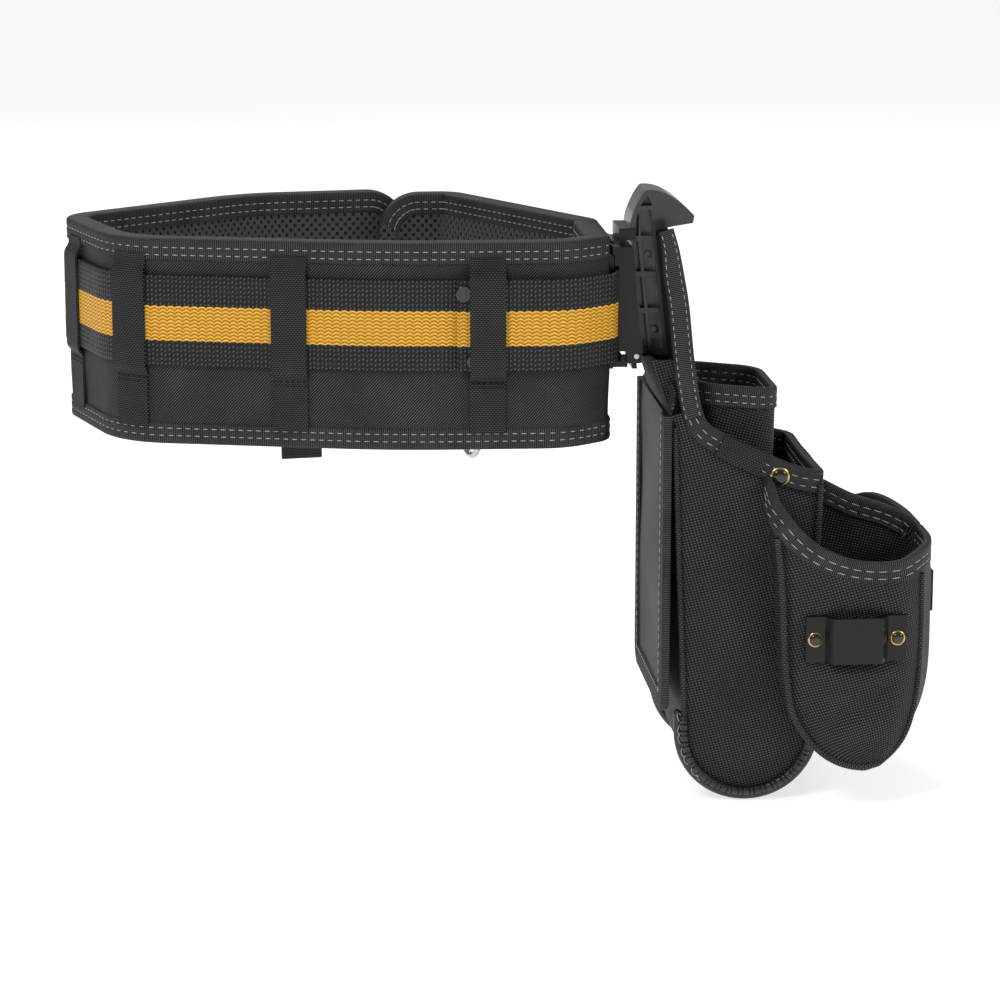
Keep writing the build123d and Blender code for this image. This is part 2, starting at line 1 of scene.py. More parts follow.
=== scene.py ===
import math
import bmesh
import bpy
import numpy as np
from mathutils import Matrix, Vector


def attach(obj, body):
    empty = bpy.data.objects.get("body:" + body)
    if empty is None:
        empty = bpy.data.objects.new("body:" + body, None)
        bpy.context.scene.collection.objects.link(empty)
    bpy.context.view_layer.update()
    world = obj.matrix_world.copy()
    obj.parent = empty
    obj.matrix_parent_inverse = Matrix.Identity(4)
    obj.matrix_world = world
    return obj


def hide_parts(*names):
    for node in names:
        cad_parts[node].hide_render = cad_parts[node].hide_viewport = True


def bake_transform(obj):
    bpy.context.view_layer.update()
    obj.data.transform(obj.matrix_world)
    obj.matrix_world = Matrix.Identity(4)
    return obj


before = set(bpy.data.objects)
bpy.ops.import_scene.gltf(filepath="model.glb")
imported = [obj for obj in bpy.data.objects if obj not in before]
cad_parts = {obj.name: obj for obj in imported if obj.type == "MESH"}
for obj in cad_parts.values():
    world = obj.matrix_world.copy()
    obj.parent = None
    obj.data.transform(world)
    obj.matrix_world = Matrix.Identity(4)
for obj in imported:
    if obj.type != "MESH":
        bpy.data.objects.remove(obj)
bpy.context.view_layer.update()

# Tool belt. Shapes are worked out in millimetres in the CAD frame and made in metres.
MM = 0.001

# ---- driving sizes, in millimetres ----
BELT_CORNERS = [
    (30, 98), (76, 98), (150, -28), (150, -95), (123, -115),
    (25, -112), (-127, -75), (-160, 16), (-54, 100), (96, 121),
]
BELT_RADII = [16, 16, 16, 40, 300, 50, 24, 90]
PAD_HALF, PAD_THICK = 58.0, 11.0
BINDING, TAPE = 12.0, 0.9
WEB_LOW, WEB_HIGH, WEB_THICK = -13.0, 38.0, 2.2
LOWER_WEB, UPPER_WEB = 1.2, 3.6
STITCH, PITCH = 3.2, 5.1        # length of a stitch and distance to the next one
ROWS = (4.4, 8.6)               # stitch rows, from a bound edge
HUB_Y = -60.0
LOOP_WIDE = 20.0
END_RADIUS = 24.0               # of the pad's free ends


# ---- numbers and curves ----
def ease(t):
    t = np.clip(t, 0.0, 1.0)
    return t * t * (3 - 2 * t)


def unit(vectors):
    length = np.linalg.norm(vectors, axis=-1, keepdims=True)
    return vectors / np.maximum(length, 1e-9)


def ripple(a, b, seed):
    """A smooth, repeatable unevenness between about -1 and 1 over two coordinates in mm."""
    rng = np.random.default_rng(seed)
    total = 0
    for _ in range(6):
        wave = rng.uniform(0.6, 1.6, 2) * (1 if rng.random() > 0.5 else -1)
        phase = rng.uniform(0, 2 * math.pi)
        total = total + np.sin(a * wave[0] / 17 + b * wave[1] / 19 + phase)
    return total / 6


def direction(line):
    """The way along a line at each of its points."""
    return unit(np.gradient(line, axis=0))


def beside(line):
    """The way to the right of a line in its plane, at each of its points."""
    way = direction(line)
    return joined(way[:, 1], -way[:, 0])


def level(flat):
    """Directions in plan, as directions in space."""
    return joined(flat[:, 0], flat[:, 1], 0)


def lengths(points):
    steps = np.linalg.norm(np.diff(points, axis=0), axis=1)
    return np.concatenate([[0], np.cumsum(steps)])


def read_off(at, along, points):
    """The points' coordinates, read off at distances along them."""
    return np.stack([np.interp(at, along, column) for column in points.T], axis=1)


def joined(*parts):
    """Coordinates of different shapes, spread to one shape and set side by side."""
    return np.stack(np.broadcast_arrays(*parts), axis=-1)


def resample(points, count):
    along = lengths(points)
    return read_off(np.linspace(0, along[-1], count), along, points)


def spline(points, count=200):
    """A smooth line through the points, evenly divided."""
    p = np.asarray(points, float)
    p = np.vstack([2 * p[0] - p[1], p, 2 * p[-1] - p[-2]])
    t = np.linspace(0, 1, 24, endpoint=False)[:, None]
    made = []
    for a, b, c, d in zip(p, p[1:], p[2:], p[3:]):
        bend = (2 * a - 5 * b + 4 * c - d) * t**2 + (3 * b - a - 3 * c + d) * t**3
        made.append(0.5 * (2 * b + (c - a) * t + bend))
    return resample(np.vstack(made + [p[-2:-1]]), count)


def rounded(points, radius, count=160):
    """Straight runs joined by arcs of one radius, evenly divided."""
    p = [np.asarray(q, float) for q in points]
    made = [p[0]]
    for a, b, c in zip(p, p[1:], p[2:]):
        to_a, to_c = unit(a - b), unit(c - b)
        turn = math.pi - math.acos(float(np.clip(to_a @ to_c, -1, 1)))
        reach = radius * math.tan(turn / 2)
        start, stop = b + to_a * reach, b + to_c * reach
        centre = b + unit(to_a + to_c) * radius / math.cos(turn / 2)
        for t in np.linspace(0, 1, 24):
            arm = unit((start - centre) * math.sin((1 - t) * turn) + (stop - centre) * math.sin(t * turn))
            made.append(centre + arm * radius)
    return resample(np.array(made + [p[-1]]), count)


class Belt:
    """The line of the pad's outer face seen from above: distance along it and offset outward."""

    def __init__(self):
        self.runs = []
        total = 0.0
        here = np.array(BELT_CORNERS[0], float)
        bends = zip(BELT_CORNERS, BELT_CORNERS[1:], BELT_CORNERS[2:], BELT_RADII)
        for before, corner, after, radius in bends:
            corner = np.array(corner, float)
            arriving, leaving = unit(corner - before), unit(after - corner)
            turn = math.acos(float(arriving @ leaving))
            reach = radius * math.tan(turn / 2)
            start = corner - arriving * reach
            total = self.add(total, here, arriving, np.linalg.norm(start - here), 0)
            total = self.add(total, start, arriving, radius * turn, radius)
            here = corner + leaving * reach
        last = np.array(BELT_CORNERS[-1], float)
        self.length = self.add(total, here, unit(last - here), np.linalg.norm(last - here), 0)

    def add(self, total, start, along, length, radius):
        self.runs.append((total, total + length, start, along, radius))
        return total + length

    def frame_at(self, s):
        s = np.asarray(s, float)
        point, out = np.zeros(s.shape + (2,)), np.zeros(s.shape + (2,))
        for first, last, start, along, radius in self.runs:
            here = (s >= first) & (s <= last)
            if last == self.length:
                here = s >= first
            d = (s[here] - first)[:, None]
            left = np.array([-along[1], along[0]])
            if radius:
                angle = d / radius
                centre = start - left * radius
                normal = left * np.cos(angle) + along * np.sin(angle)
                point[here], out[here] = centre + normal * radius, normal
            else:
                point[here], out[here] = start + along * d, np.broadcast_to(left, d.shape[:1] + (2,))
        return point, out

    def at(self, s, k, z):
        """Points at distances along the belt, offsets outward and heights."""
        s, k, z = np.broadcast_arrays(np.asarray(s, float), k, z)
        point, out = self.frame_at(s.ravel())
        place = point + out * k.reshape(-1, 1)
        return np.column_stack([place, z.ravel()]).reshape(s.shape + (3,))

    def near(self, x, y):
        s = np.arange(0, self.length, 0.25)
        point, _ = self.frame_at(s)
        return float(s[np.argmin(np.linalg.norm(point - (x, y), axis=1))])


BELT = Belt()
PAD_STOP = BELT.near(46, 114)
PAD_MEET = BELT.near(-30, -98)      # the pad's right and left sleeves meet under a loop


# ---- meshes ----
class Soup:
    """Collects skins, sheets, cords and beads into one mesh. Each adds to the soup and returns it."""

    def __init__(self):
        self.points, self.faces, self.uvs = [], [], []
        self.total = 0

    def rings(self, points, uv, loop=False):
        """Rings of points joined one to the next. uv has one more place round each ring, and
        one more ring where the last joins the first in a loop."""
        index = self.total + np.arange(points.shape[0] * points.shape[1]).reshape(points.shape[:2])
        index = np.concatenate([index, index[:, :1]], axis=1)
        if loop:
            index = np.concatenate([index, index[:1]], axis=0)

        def corners(a):
            return np.stack([a[:-1, :-1], a[1:, :-1], a[1:, 1:], a[:-1, 1:]], axis=2)

        self.points.append(points.reshape(-1, 3))
        self.faces += corners(index).reshape(-1, 4).tolist()
        self.uvs.append(corners(uv).reshape(-1, 2))
        self.total += points.shape[0] * points.shape[1]

    def closed(self, points, uv):
        """Rings with a face across the first and the last."""
        start = self.total
        count, around = points.shape[:2]
        self.rings(points, uv)
        for row in (0, count - 1):
            first = start + row * around
            self.faces.append(list(range(first, first + around)))
            self.uvs.append(np.tile(uv[row, 0], (around, 1)))
        return self

    def sheet(self, points, thick, uv):
        """A cloth of some thickness about a grid of points, with its end edges mapped like its faces."""
        start = self.total
        count, wide = points.shape[:2]
        lift = grid_normals(points) * thick / 2
        self.rings(*two_faced(points + lift, points - lift, uv))
        j = np.arange(wide - 1)
        for row in (0, count - 1):
            base = start + row * 2 * wide
            far = base + 2 * wide - 1
            self.faces += np.stack([base + j, base + j + 1, far - 1 - j, far - j], axis=1).tolist()
            ends = uv[row]
            self.uvs.append(np.stack([ends[:-1], ends[1:], ends[1:], ends[:-1]], axis=1).reshape(-1, 2))
        return self

    def tube(self, line, radius, sides):
        """A round cord along a line. radius may change along it."""
        side, up = carry_frame(direction(line))
        radius = np.broadcast_to(radius, len(line))[:, None]
        angle = np.linspace(0, 2 * math.pi, sides, endpoint=False)
        points = np.stack([line + (side * math.cos(a) + up * math.sin(a)) * radius for a in angle], axis=1)
        around = np.linspace(0, 2 * math.pi * float(np.mean(radius)), sides + 1)
        return self.closed(points, joined(lengths(line)[:, None], around))

    def beads(self, places, sides, ups, outs, size):
        """A blunt bead at each place, with half sizes along its three directions."""
        angle = np.linspace(0, 2 * math.pi, 6, endpoint=False)
        lats = np.array([-0.9, -0.45, 0.45, 0.9])[:, None]
        ring = np.sqrt(1 - np.abs(lats) ** 3.2)
        shape = joined(lats, ring * np.cos(angle), ring * np.sin(angle)) * size
        for place, *ways in zip(places, sides, ups, outs):
            self.closed(place + shape @ np.array(ways), np.zeros((4, 7, 2)))
        return self

    def piece(self, name, material, body, slot, replaces=(), sharp=50):
        mesh = bpy.data.meshes.new(name)
        mesh.from_pydata((np.vstack(self.points) * MM).tolist(), [], self.faces)
        layer = mesh.uv_layers.new(name="cloth")
        layer.data.foreach_set("uv", (np.vstack(self.uvs) * MM).ravel())
        tidy = bmesh.new()
        tidy.from_mesh(mesh)
        bmesh.ops.recalc_face_normals(tidy, faces=tidy.faces)
        tidy.to_mesh(mesh)
        tidy.free()
        mesh.shade_smooth()
        mesh.set_sharp_from_angle(angle=math.radians(sharp))
        mesh.materials.append(material)
        made = bpy.data.objects.new(name, mesh)
        bpy.context.collection.objects.link(made)
        if body == "belt+belt_end":
            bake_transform(made)
        else:
            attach(made, body)
        if replaces:
            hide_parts(*replaces)
        return made


def two_faced(front, back, uv):
    """Rings that run out along one grid and back along a matching one, with their cloth coordinates."""
    rings = np.concatenate([front, back[:, ::-1]], axis=1)
    return rings, np.concatenate([uv, uv[:, ::-1], uv[:, :1]], axis=1)


def grid_normals(points):
    normal = np.cross(np.gradient(points, axis=0), np.gradient(points, axis=1))
    weak = np.linalg.norm(normal, axis=2) < 1e-6
    # Where a row of points runs together, the next row's direction stands in.
    for j in np.where(weak.any(axis=0))[0]:
        other = j + 1 if j < points.shape[1] / 2 else j - 1
        normal[:, j] = np.where(weak[:, j, None], normal[:, other], normal[:, j])
    return unit(normal)


def carry_frame(tangent):
    """Two directions square to a line, carried along it without twist."""
    start = np.array([0, 0, 1.0]) if abs(tangent[0][2]) < 0.9 else np.array([1.0, 0, 0])
    side = unit(np.cross(start, tangent[0]))
    sides = []
    for t in tangent:
        side = unit(side - t * (side @ t))
        sides.append(side)
    sides = np.array(sides)
    return sides, np.cross(tangent, sides)


class Edge:
    """A cloth edge: its line, the way down into the cloth, and the way out of its face."""

    def __init__(self, line, down, out):
        self.line, self.down, self.out = line, unit(down), unit(out)
        self.along = lengths(line)
        self.length = self.along[-1]

    def at(self, distance):
        """The place, the ways down and out, and the way along the edge at each distance."""
        distance = np.asarray(distance)
        place, down, out, before, after = (
            read_off(at, self.along, rows) for at, rows in (
                (distance, self.line), (distance, self.down), (distance, self.out),
                (distance - 0.5, self.line), (distance + 0.5, self.line)))
        return place, unit(down), unit(out), unit(after - before)


def tape_height(down, half):
    """How far the outer face of a binding stands from the middle of the cloth it wraps."""
    groove = sum(np.exp(-(((down - row) / 0.9) ** 2)) for row in ROWS)
    lip = ease((BINDING - down) / 0.9)
    return half + 0.15 + (TAPE + 0.25 - 0.35 * groove) * lip


def along_edge(value, share):
    """One number, or a row of numbers spread evenly along an edge, at shares of its length."""
    value = np.atleast_1d(np.asarray(value, float))
    return np.interp(share, np.linspace(0, 1, len(value)), value)[:, None]


def binding(soup, edge, half, step=2.5, width=BINDING):
    """A folded tape over a cloth edge."""
    count = max(8, int(edge.length / step))
    along = np.linspace(0, edge.length, count)
    line, down, out, _ = edge.at(along)
    down = down * along_edge(width, np.linspace(0, 1, count)) / BINDING
    legs = np.array([12, 11.6, 11, 9.6, 8.6, 7.6, 6.5, 5.4, 4.4, 3.4, 2.2, 1.2])
    face = joined(legs, tape_height(legs, half))
    turn = np.linspace(1.2, -1.2, 7)
    over = joined(1.2 - (1.2 + TAPE) * np.cos(turn) ** 0.6,
                  face[-1, 1] * np.sign(turn) * np.abs(np.sin(turn)) ** 0.7)
    inner = [(12, -half), (6, -half), (0.3, -half), (0.3, half), (6, half), (12, half)]
    section = np.vstack([face, over, face[::-1] * (1, -1), inner])
    points = line[:, None] + down[:, None] * section[None, :, :1] + out[:, None] * section[None, :, 1:]
    around = lengths(np.vstack([section, section[:1]]))
    return soup.closed(points, joined(along[:, None], around))


def stitch_rows(soup, edge, half, rows=ROWS, scale=1.0, stitch=STITCH, pitch=PITCH):
    """Rows of thread along both faces of a binding."""
    at = np.arange(2.0, edge.length - stitch, pitch)
    for face in (1, -1):
        for row in rows:
            line, down, out, along = edge.at(at + (row % 2.3))
            height = tape_height(row, half) + 0.12
            places = line + down * row * along_edge(scale, at / edge.length) + out * height * face
            soup.beads(places, along, down, out, (stitch / 2, 0.24, 0.24))
    return soup


# ---- materials ----
class Value:
    """A number that a material's nodes work out, with the usual signs of arithmetic."""

    def __init__(self, finish, socket):
        self.finish, self.socket = finish, socket

    def __add__(self, other):
        return self.finish.math("ADD", self, other)

    def __sub__(self, other):
        return self.finish.math("SUBTRACT", self, other)

    def __mul__(self, other):
        return self.finish.math("MULTIPLY", self, other)

    def __truediv__(self, other):
        return self.finish.math("DIVIDE", self, other)

    def from_one(self):
        return self.finish.math("SUBTRACT", 1.0, self)


class Finish:
    """A material's node tree, with short names for the nodes that the finishes below use."""

    def __init__(self, name, roughness=0.7, specular=0.35, metallic=0.0, coat=0.0, sheen=0.0):
        self.material = bpy.data.materials.new(name)
        self.material.use_nodes = True
        self.tree = self.material.node_tree
        self.shader = self.tree.nodes["Principled BSDF"]
        for label, value in (("Roughness", roughness), ("Specular IOR Level", specular),
                             ("Metallic", metallic), ("Coat Weight", coat), ("Sheen Weight", sheen),
                             ("Sheen Roughness", 0.4)):
            self.shader.inputs[label].default_value = value

    def link(self, value, socket):
        """Give a socket a number, a colour or what other nodes work out."""
        if isinstance(value, Value):
            self.tree.links.new(value.socket, socket)
        else:
            socket.default_value = (*value, 1) if isinstance(value, tuple) else value

    def node(self, kind, **values):
        made = self.tree.nodes.new("ShaderNode" + kind)
        for label, value in values.items():
            self.link(value, made.inputs[label])
        return made

    def math(self, operation, *values):
        node = self.node("Math")
        node.operation = operation
        for value, socket in zip(values, node.inputs):
            self.link(value, socket)
        return Value(self, node.outputs[0])

    def parts(self, vector):
        node = self.node("SeparateXYZ", Vector=Value(self, vector))
        return [Value(self, socket) for socket in node.outputs]

    def cloth(self):
        """Cloth coordinates in millimetres, across and along the threads."""
        uv = self.node("UVMap")
        uv.uv_map = "cloth"
        return [part * (1 / MM) for part in self.parts(uv.outputs[0])[:2]]

    def solid(self):
        return self.node("TexCoord").outputs["Object"]

    def noise(self, scale, detail):
        node = self.node("TexNoise", Scale=scale, Detail=detail, Vector=Value(self, self.solid()))
        return Value(self, node.outputs["Fac"])

    def ramp(self, value, *stops):
        node = self.node("ValToRGB", Fac=value)
        band = node.color_ramp
        while len(band.elements) < len(stops):
            band.elements.new(0.5)
        for element, (place, colour) in zip(band.elements, stops):
            element.position = place
            element.color = (*colour, 1)
        return Value(self, node.outputs[0])

    def mix(self, factor, a, b):
        node = self.node("Mix")
        node.data_type = "RGBA"
        for value, place in ((factor, 0), (a, 6), (b, 7)):
            self.link(value, node.inputs[place])
        return Value(self, node.outputs[2])

    def colour(self, value):
        self.link(value, self.shader.inputs["Base Color"])

    def bump(self, height, distance):
        node = self.node("Bump", Distance=distance * MM, Strength=1.0, Height=height)
        before = self.shader.inputs["Normal"].links
        if before:
            self.tree.links.new(before[0].from_socket, node.inputs["Normal"])
        self.tree.links.new(node.outputs[0], self.shader.inputs["Normal"])

    def rough(self, value, low, high):
        node = self.node("MapRange", Value=value)
        node.inputs[3].default_value = low
        node.inputs[4].default_value = high
        self.tree.links.new(node.outputs[0], self.shader.inputs["Roughness"])


def crown(value, pitch):
    """A rounded thread across every pitch: 0 in the gaps and 1 on top."""
    return value.finish.math("COSINE", value * (2 * math.pi / pitch)) * -0.5 + 0.5


def ballistic_finish(name, rows, columns, dotted):
    """Coarse cloth. rows and columns are each (slope, pitch); dotted is how far columns break the rows up."""
    f = Finish(name, roughness=0.6, specular=0.22)
    dark, light = 0.006, 0.15
    u, v = f.cloth()
    across = crown(u * rows[0] + v, rows[1])
    broken = crown(v * columns[0] + u, columns[1])
    height = across * (broken * dotted + (1 - dotted))
    patches, fibre = f.noise(30, 4), f.noise(2400, 2)
    # The weave's crowns are painted lighter as painted highlight and its gaps darker as painted shade;
    # patches is random tone.
    base = f.ramp(height * (patches * 0.7 + 0.65), (0.2, (dark, dark, dark * 1.04)),
                  (0.55, (light * 0.22,) * 3), (1.0, (light,) * 3))
    f.colour(f.mix(fibre * 0.15, base, (light * 0.12,) * 3))
    f.rough(patches, 0.5, 0.75)
    f.bump(height, 0.3)
    return f.material


def webbing_finish():
    """Belt webbing: columns of slanting picks, and a middle band of amber scallops. v is the height."""
    f = Finish("belt webbing", roughness=0.6, specular=0.35, sheen=0.05)
    u, v = f.cloth()
    fibre, wear = f.noise(1800, 2), f.noise(40, 4)
    column, pick = 2.3, 2.6
    place = u / column
    odd = f.math("MODULO", f.math("FLOOR", place), 2.0)
    side = f.math("FRACT", place) - 0.5
    dash = crown(v + side * (odd * 1.8 + 0.7) + odd * 0.5, pick)
    thread = f.math("POWER", f.math("COSINE", side * math.pi), 1.5)
    dashes = thread * (dash * 0.85 + 0.15)
    # Painted highlight on the crowns of the picks, and painted shade between the columns and in the gaps.
    black = f.ramp(dashes, (0.25, (0.005, 0.005, 0.0055)), (0.6, (0.016, 0.016, 0.017)),
                   (0.95, (0.11, 0.11, 0.11)))
    scallop, row = 4.5, 2.05
    hump = f.math("ABSOLUTE", f.math("COSINE", u * (math.pi / scallop)))
    waves = crown(v - hump * 1.15, row) * (hump * 0.3 + 0.7)
    # The amber scallops are painted darker in their grooves as painted shade and paler on their crowns as
    # painted highlight.
    amber = f.ramp(waves, (0.05, (0.36, 0.145, 0.0015)), (0.4, (0.82, 0.37, 0.012)),
                   (0.95, (1.0, 0.60, 0.085)))
    amber = f.mix(wear * 0.15, amber, (0.62, 0.27, 0.008))
    edge, low, high = v - hump * 0.5, 1.0, 20.5
    inside = f.math("GREATER_THAN", edge, low) * f.math("LESS_THAN", edge, high)
    f.colour(f.mix(inside, black, amber))
    f.rough(wear, 0.5, 0.72)
    f.bump(waves * inside + dashes * inside.from_one(), 0.5)
    f.bump(fibre, 0.05)
    return f.material


def ribbed_finish(name, dark, light, pitch, across, depth=0.22, broken=0.25, dash=0.62):
    """Grosgrain tape: ribs across or along it, broken up by the threads that cross them."""
    f = Finish(name, roughness=0.66, specular=0.22)
    u, v = f.cloth()
    rib_axis, other = (u, v) if across else (v, u)
    turn = f.math("FLOOR", rib_axis / pitch) * (dash / 2)
    height = crown(rib_axis, pitch) * (crown(other + turn, dash) * broken + (1 - broken))
    wear = f.noise(55, 4)
    # Ribs are painted lighter on their crowns as painted highlight and darker in the grooves as painted
    # shade; wear is random tone.
    f.colour(f.ramp(height * (wear * 0.8 + 0.6), (0.25, dark), (0.6, tuple(c * 0.4 for c in light)),
                    (1.0, light)))
    f.rough(wear, 0.52, 0.8)
    f.bump(height, depth)
    return f.material


def mesh_finish():
    """Spacer mesh: staggered oval holes in a knitted face."""
    f = Finish("spacer mesh", roughness=0.8, specular=0.25, sheen=0.2)
    u, v = f.cloth()
    wide, tall = 5.2, 5.6
    stagger = f.math("COSINE", u * (2 * math.pi / wide)) * f.math("COSINE", v * (2 * math.pi / tall))
    hole = f.math("SMOOTH_MIN", stagger - 0.16, 0.6, 0.1)
    open_part = f.math("MINIMUM", f.math("MAXIMUM", hole, 0.0) * 2.6, 1.0)
    knit = f.noise(1500, 2)
    solid = f.mix(knit, (0.035, 0.035, 0.036), (0.085, 0.085, 0.087))
    # The holes are painted near black as painted shade down into the mesh.
    f.colour(f.mix(open_part, solid, (0.006, 0.006, 0.0065)))
    f.bump(open_part.from_one(), 0.7)
    f.bump(knit, 0.08)
    return f.material


def plastic_finish(name, colour, roughness, grain=0.04, coat=0.0, specular=0.5):
    f = Finish(name, roughness=roughness, specular=specular, coat=coat)
    fine, broad = f.noise(1600, 3), f.noise(45, 5)
    worn = tuple(min(1.0, c * 1.8 + 0.004) for c in colour)
    f.colour(f.mix(broad * 0.4, colour, worn))
    f.rough(broad, max(0.05, roughness - 0.1), min(1.0, roughness + 0.12))
    f.bump(fine, grain)
    return f.material


def coated_finish():
    """Smooth coated cloth with a fine, faint weave."""
    f = Finish("coated cloth", roughness=0.6, specular=0.17)
    u, v = f.cloth()
    height = crown(u, 0.7) * crown(v, 0.7)
    cloud = f.noise(18, 5)
    # The crowns of the fine weave are painted a little paler as painted highlight; cloud is random tone.
    f.colour(f.ramp(height * 0.25 + cloud * 0.9, (0.25, (0.008, 0.008, 0.0085)),
                    (0.9, (0.024, 0.024, 0.025))))
    f.rough(cloud, 0.45, 0.65)
    f.bump(height, 0.07)
    return f.material


def hanger_finish():
    """Moulded plastic whose cell floors are painted paler than its ribs, as painted light on the floors."""
    f = Finish("hanger plastic", roughness=0.3, specular=0.5, coat=0.3)
    depth = f.math("ABSOLUTE", f.parts(f.solid())[1] - HUB_Y * MM)
    face = f.math("GREATER_THAN", depth, 0.011)
    broad = f.noise(45, 5)
    # Painted light: the cell floors are painted paler than the rib faces; broad is random tone.
    floor = f.mix(broad, (0.06, 0.06, 0.062), (0.11, 0.11, 0.113))
    rib = f.mix(broad, (0.016, 0.016, 0.017), (0.034, 0.034, 0.035))
    f.colour(f.mix(face, floor, rib))
    f.rough(broad, 0.22, 0.42)
    f.bump(f.noise(1600, 3), 0.03)
    return f.material


def metal_finish(name, colour, roughness):
    f = Finish(name, roughness=roughness, specular=0.5, metallic=1.0)
    fine, broad = f.noise(900, 2), f.noise(70, 5)
    f.colour(f.mix(broad * 0.35, colour, tuple(c * 0.6 for c in colour)))
    f.rough(broad, roughness - 0.08, roughness + 0.15)
    f.bump(fine, 0.015)
    return f.material


def thread_finish():
    f = Finish("stitch thread", roughness=0.6, specular=0.3, sheen=0.2)
    twist = f.noise(2200, 2)
    f.colour(f.mix(twist, (0.24, 0.24, 0.24), (0.66, 0.66, 0.65)))
    f.bump(twist, 0.06)
    return f.material


BALLISTIC = ballistic_finish("ballistic cloth", (1.1, 1.9), (-0.6, 1.35), 0.5)
POUCH = ballistic_finish("pouch cloth", (-0.25, 1.6), (0.3, 1.9), 0.75)
WEBBING = webbing_finish()
EDGING = ribbed_finish("edge tape", (0.005, 0.005, 0.0055), (0.105, 0.105, 0.107), 1.05, across=True)
RIM_TAPE = ribbed_finish("rim tape", (0.020, 0.020, 0.021), (0.062, 0.062, 0.064), 0.8, across=True,
                         depth=0.12)
LOOPING = ribbed_finish("loop tape", (0.008, 0.008, 0.009), (0.10, 0.10, 0.102), 1.1, across=False,
                        broken=0.7, dash=1.9)
PIPING = ribbed_finish("piping", (0.008, 0.008, 0.009), (0.12, 0.12, 0.122), 1.3, across=True,
                       broken=0.5, dash=2.6)
MESH = mesh_finish()
COATED = coated_finish()
HUB = plastic_finish("hub plastic", (0.006, 0.006, 0.0065), 0.3, specular=0.34)
HANGER = hanger_finish()
GLOSS = plastic_finish("polished black", (0.008, 0.008, 0.009), 0.16, grain=0.01, coat=0.4)
CLIP = plastic_finish("black powder coat", (0.005, 0.005, 0.0055), 0.24, grain=0.015, specular=0.3)
RUBBER = plastic_finish("bumper rubber", (0.014, 0.014, 0.015), 0.34, grain=0.06)
STEEL = metal_finish("bright steel", (0.58, 0.58, 0.60), 0.26)
BRASS = metal_finish("brass", (0.66, 0.43, 0.12), 0.25)
THREAD = thread_finish()


# ---- belt pad ----
def pad_face(s, z):
    """How far the outer cloth stands out: full in the middle, drawn in at the seams."""
    full = 1.0 - np.abs(z / PAD_HALF) ** 5
    sag = 0.9 * ripple(s, z * 1.4, 3) * np.clip(full, 0, 1)
    behind_web = ease((z + 22) / 8) * ease((46 - z) / 6)
    return np.where(z < WEB_LOW, 0.9 * full + sag * (1 - behind_web), 0.7 * full - 0.4 * behind_web)


def lining_face(s, z):
    """How far the mesh lining stands in: quilted into upright channels."""
    channel = np.abs(np.sin(math.pi * (s - 18) / 56.0)) ** 0.55
    border = ease((PAD_HALF - 8 - np.abs(z)) / 16)
    return 2.6 * channel * border + 0.5 * ripple(s * 1.5, z * 1.5, 8) * border


def corner_drop(distance, radius):
    """How much lower a rounded corner is at a distance from the end."""
    inside = np.clip(radius - distance, 0, radius)
    return radius - np.sqrt(np.maximum(radius**2 - inside**2, 0))


def end_distance(s):
    return np.minimum(s, PAD_STOP - s)


def pad_half(s):
    return PAD_HALF - corner_drop(end_distance(s), END_RADIUS) - 0.3


def even_stations(start, stop, step):
    """Distances along the belt, closer together at the pad's rounded ends."""
    middle = np.linspace(start, stop, int((stop - start) / step) + 1)
    extra = []
    if start == 0:
        extra.append(END_RADIUS * (1 - np.cos(np.linspace(0.02, math.pi / 2, 14))))
    if stop == PAD_STOP:
        extra.append(stop - END_RADIUS * (1 - np.cos(np.linspace(0.02, math.pi / 2, 14))))
    made = np.unique(np.round(np.concatenate([middle] + extra), 3))
    return made[np.concatenate([[True], np.diff(made) > 0.12])]


def pad_layer(name, start, stop, outer, inner, material, body, slot, replaces):
    """One layer of the pad, closed all round. outer and inner give its faces' offsets."""
    s = even_stations(start, stop, 4.0)
    share = np.sin(np.linspace(-math.pi / 2, math.pi / 2, 41))
    share = np.sign(share) * np.abs(share) ** 0.9
    half = pad_half(s)
    half[0] = half[0] if start else min(half[0], PAD_HALF - END_RADIUS)
    z = half[:, None] * share
    s = np.broadcast_to(s[:, None], z.shape)
    soup = Soup().closed(*two_faced(BELT.at(s, outer(s, z), z), BELT.at(s, inner(s, z), z), joined(s, z)))
    made = soup.piece(name, material, body, slot, replaces)


# The pad's two sleeves: name, ends along the belt, body, and the start of their nodes' names.
SLEEVES = (("right", 0, PAD_MEET, "belt", ""), ("left", PAD_MEET, PAD_STOP, "belt+belt_end", "end_"))


def make_pad():
    for side, start, stop, body, prefix in SLEEVES:
        pad_layer("pad_outer_" + side, start, stop, pad_face, lambda s, z: 0 * z - PAD_THICK / 2,
                  BALLISTIC, body, "ballistic_fabric", (prefix + "pad_shell", prefix + "pad_core"))
        pad_layer("pad_lining_" + side, start, stop, lambda s, z: 0 * z - 5.0,
                  lambda s, z: -PAD_THICK - lining_face(s, z),
                  MESH, body, "spacer_mesh", (prefix + "pad_lining",))


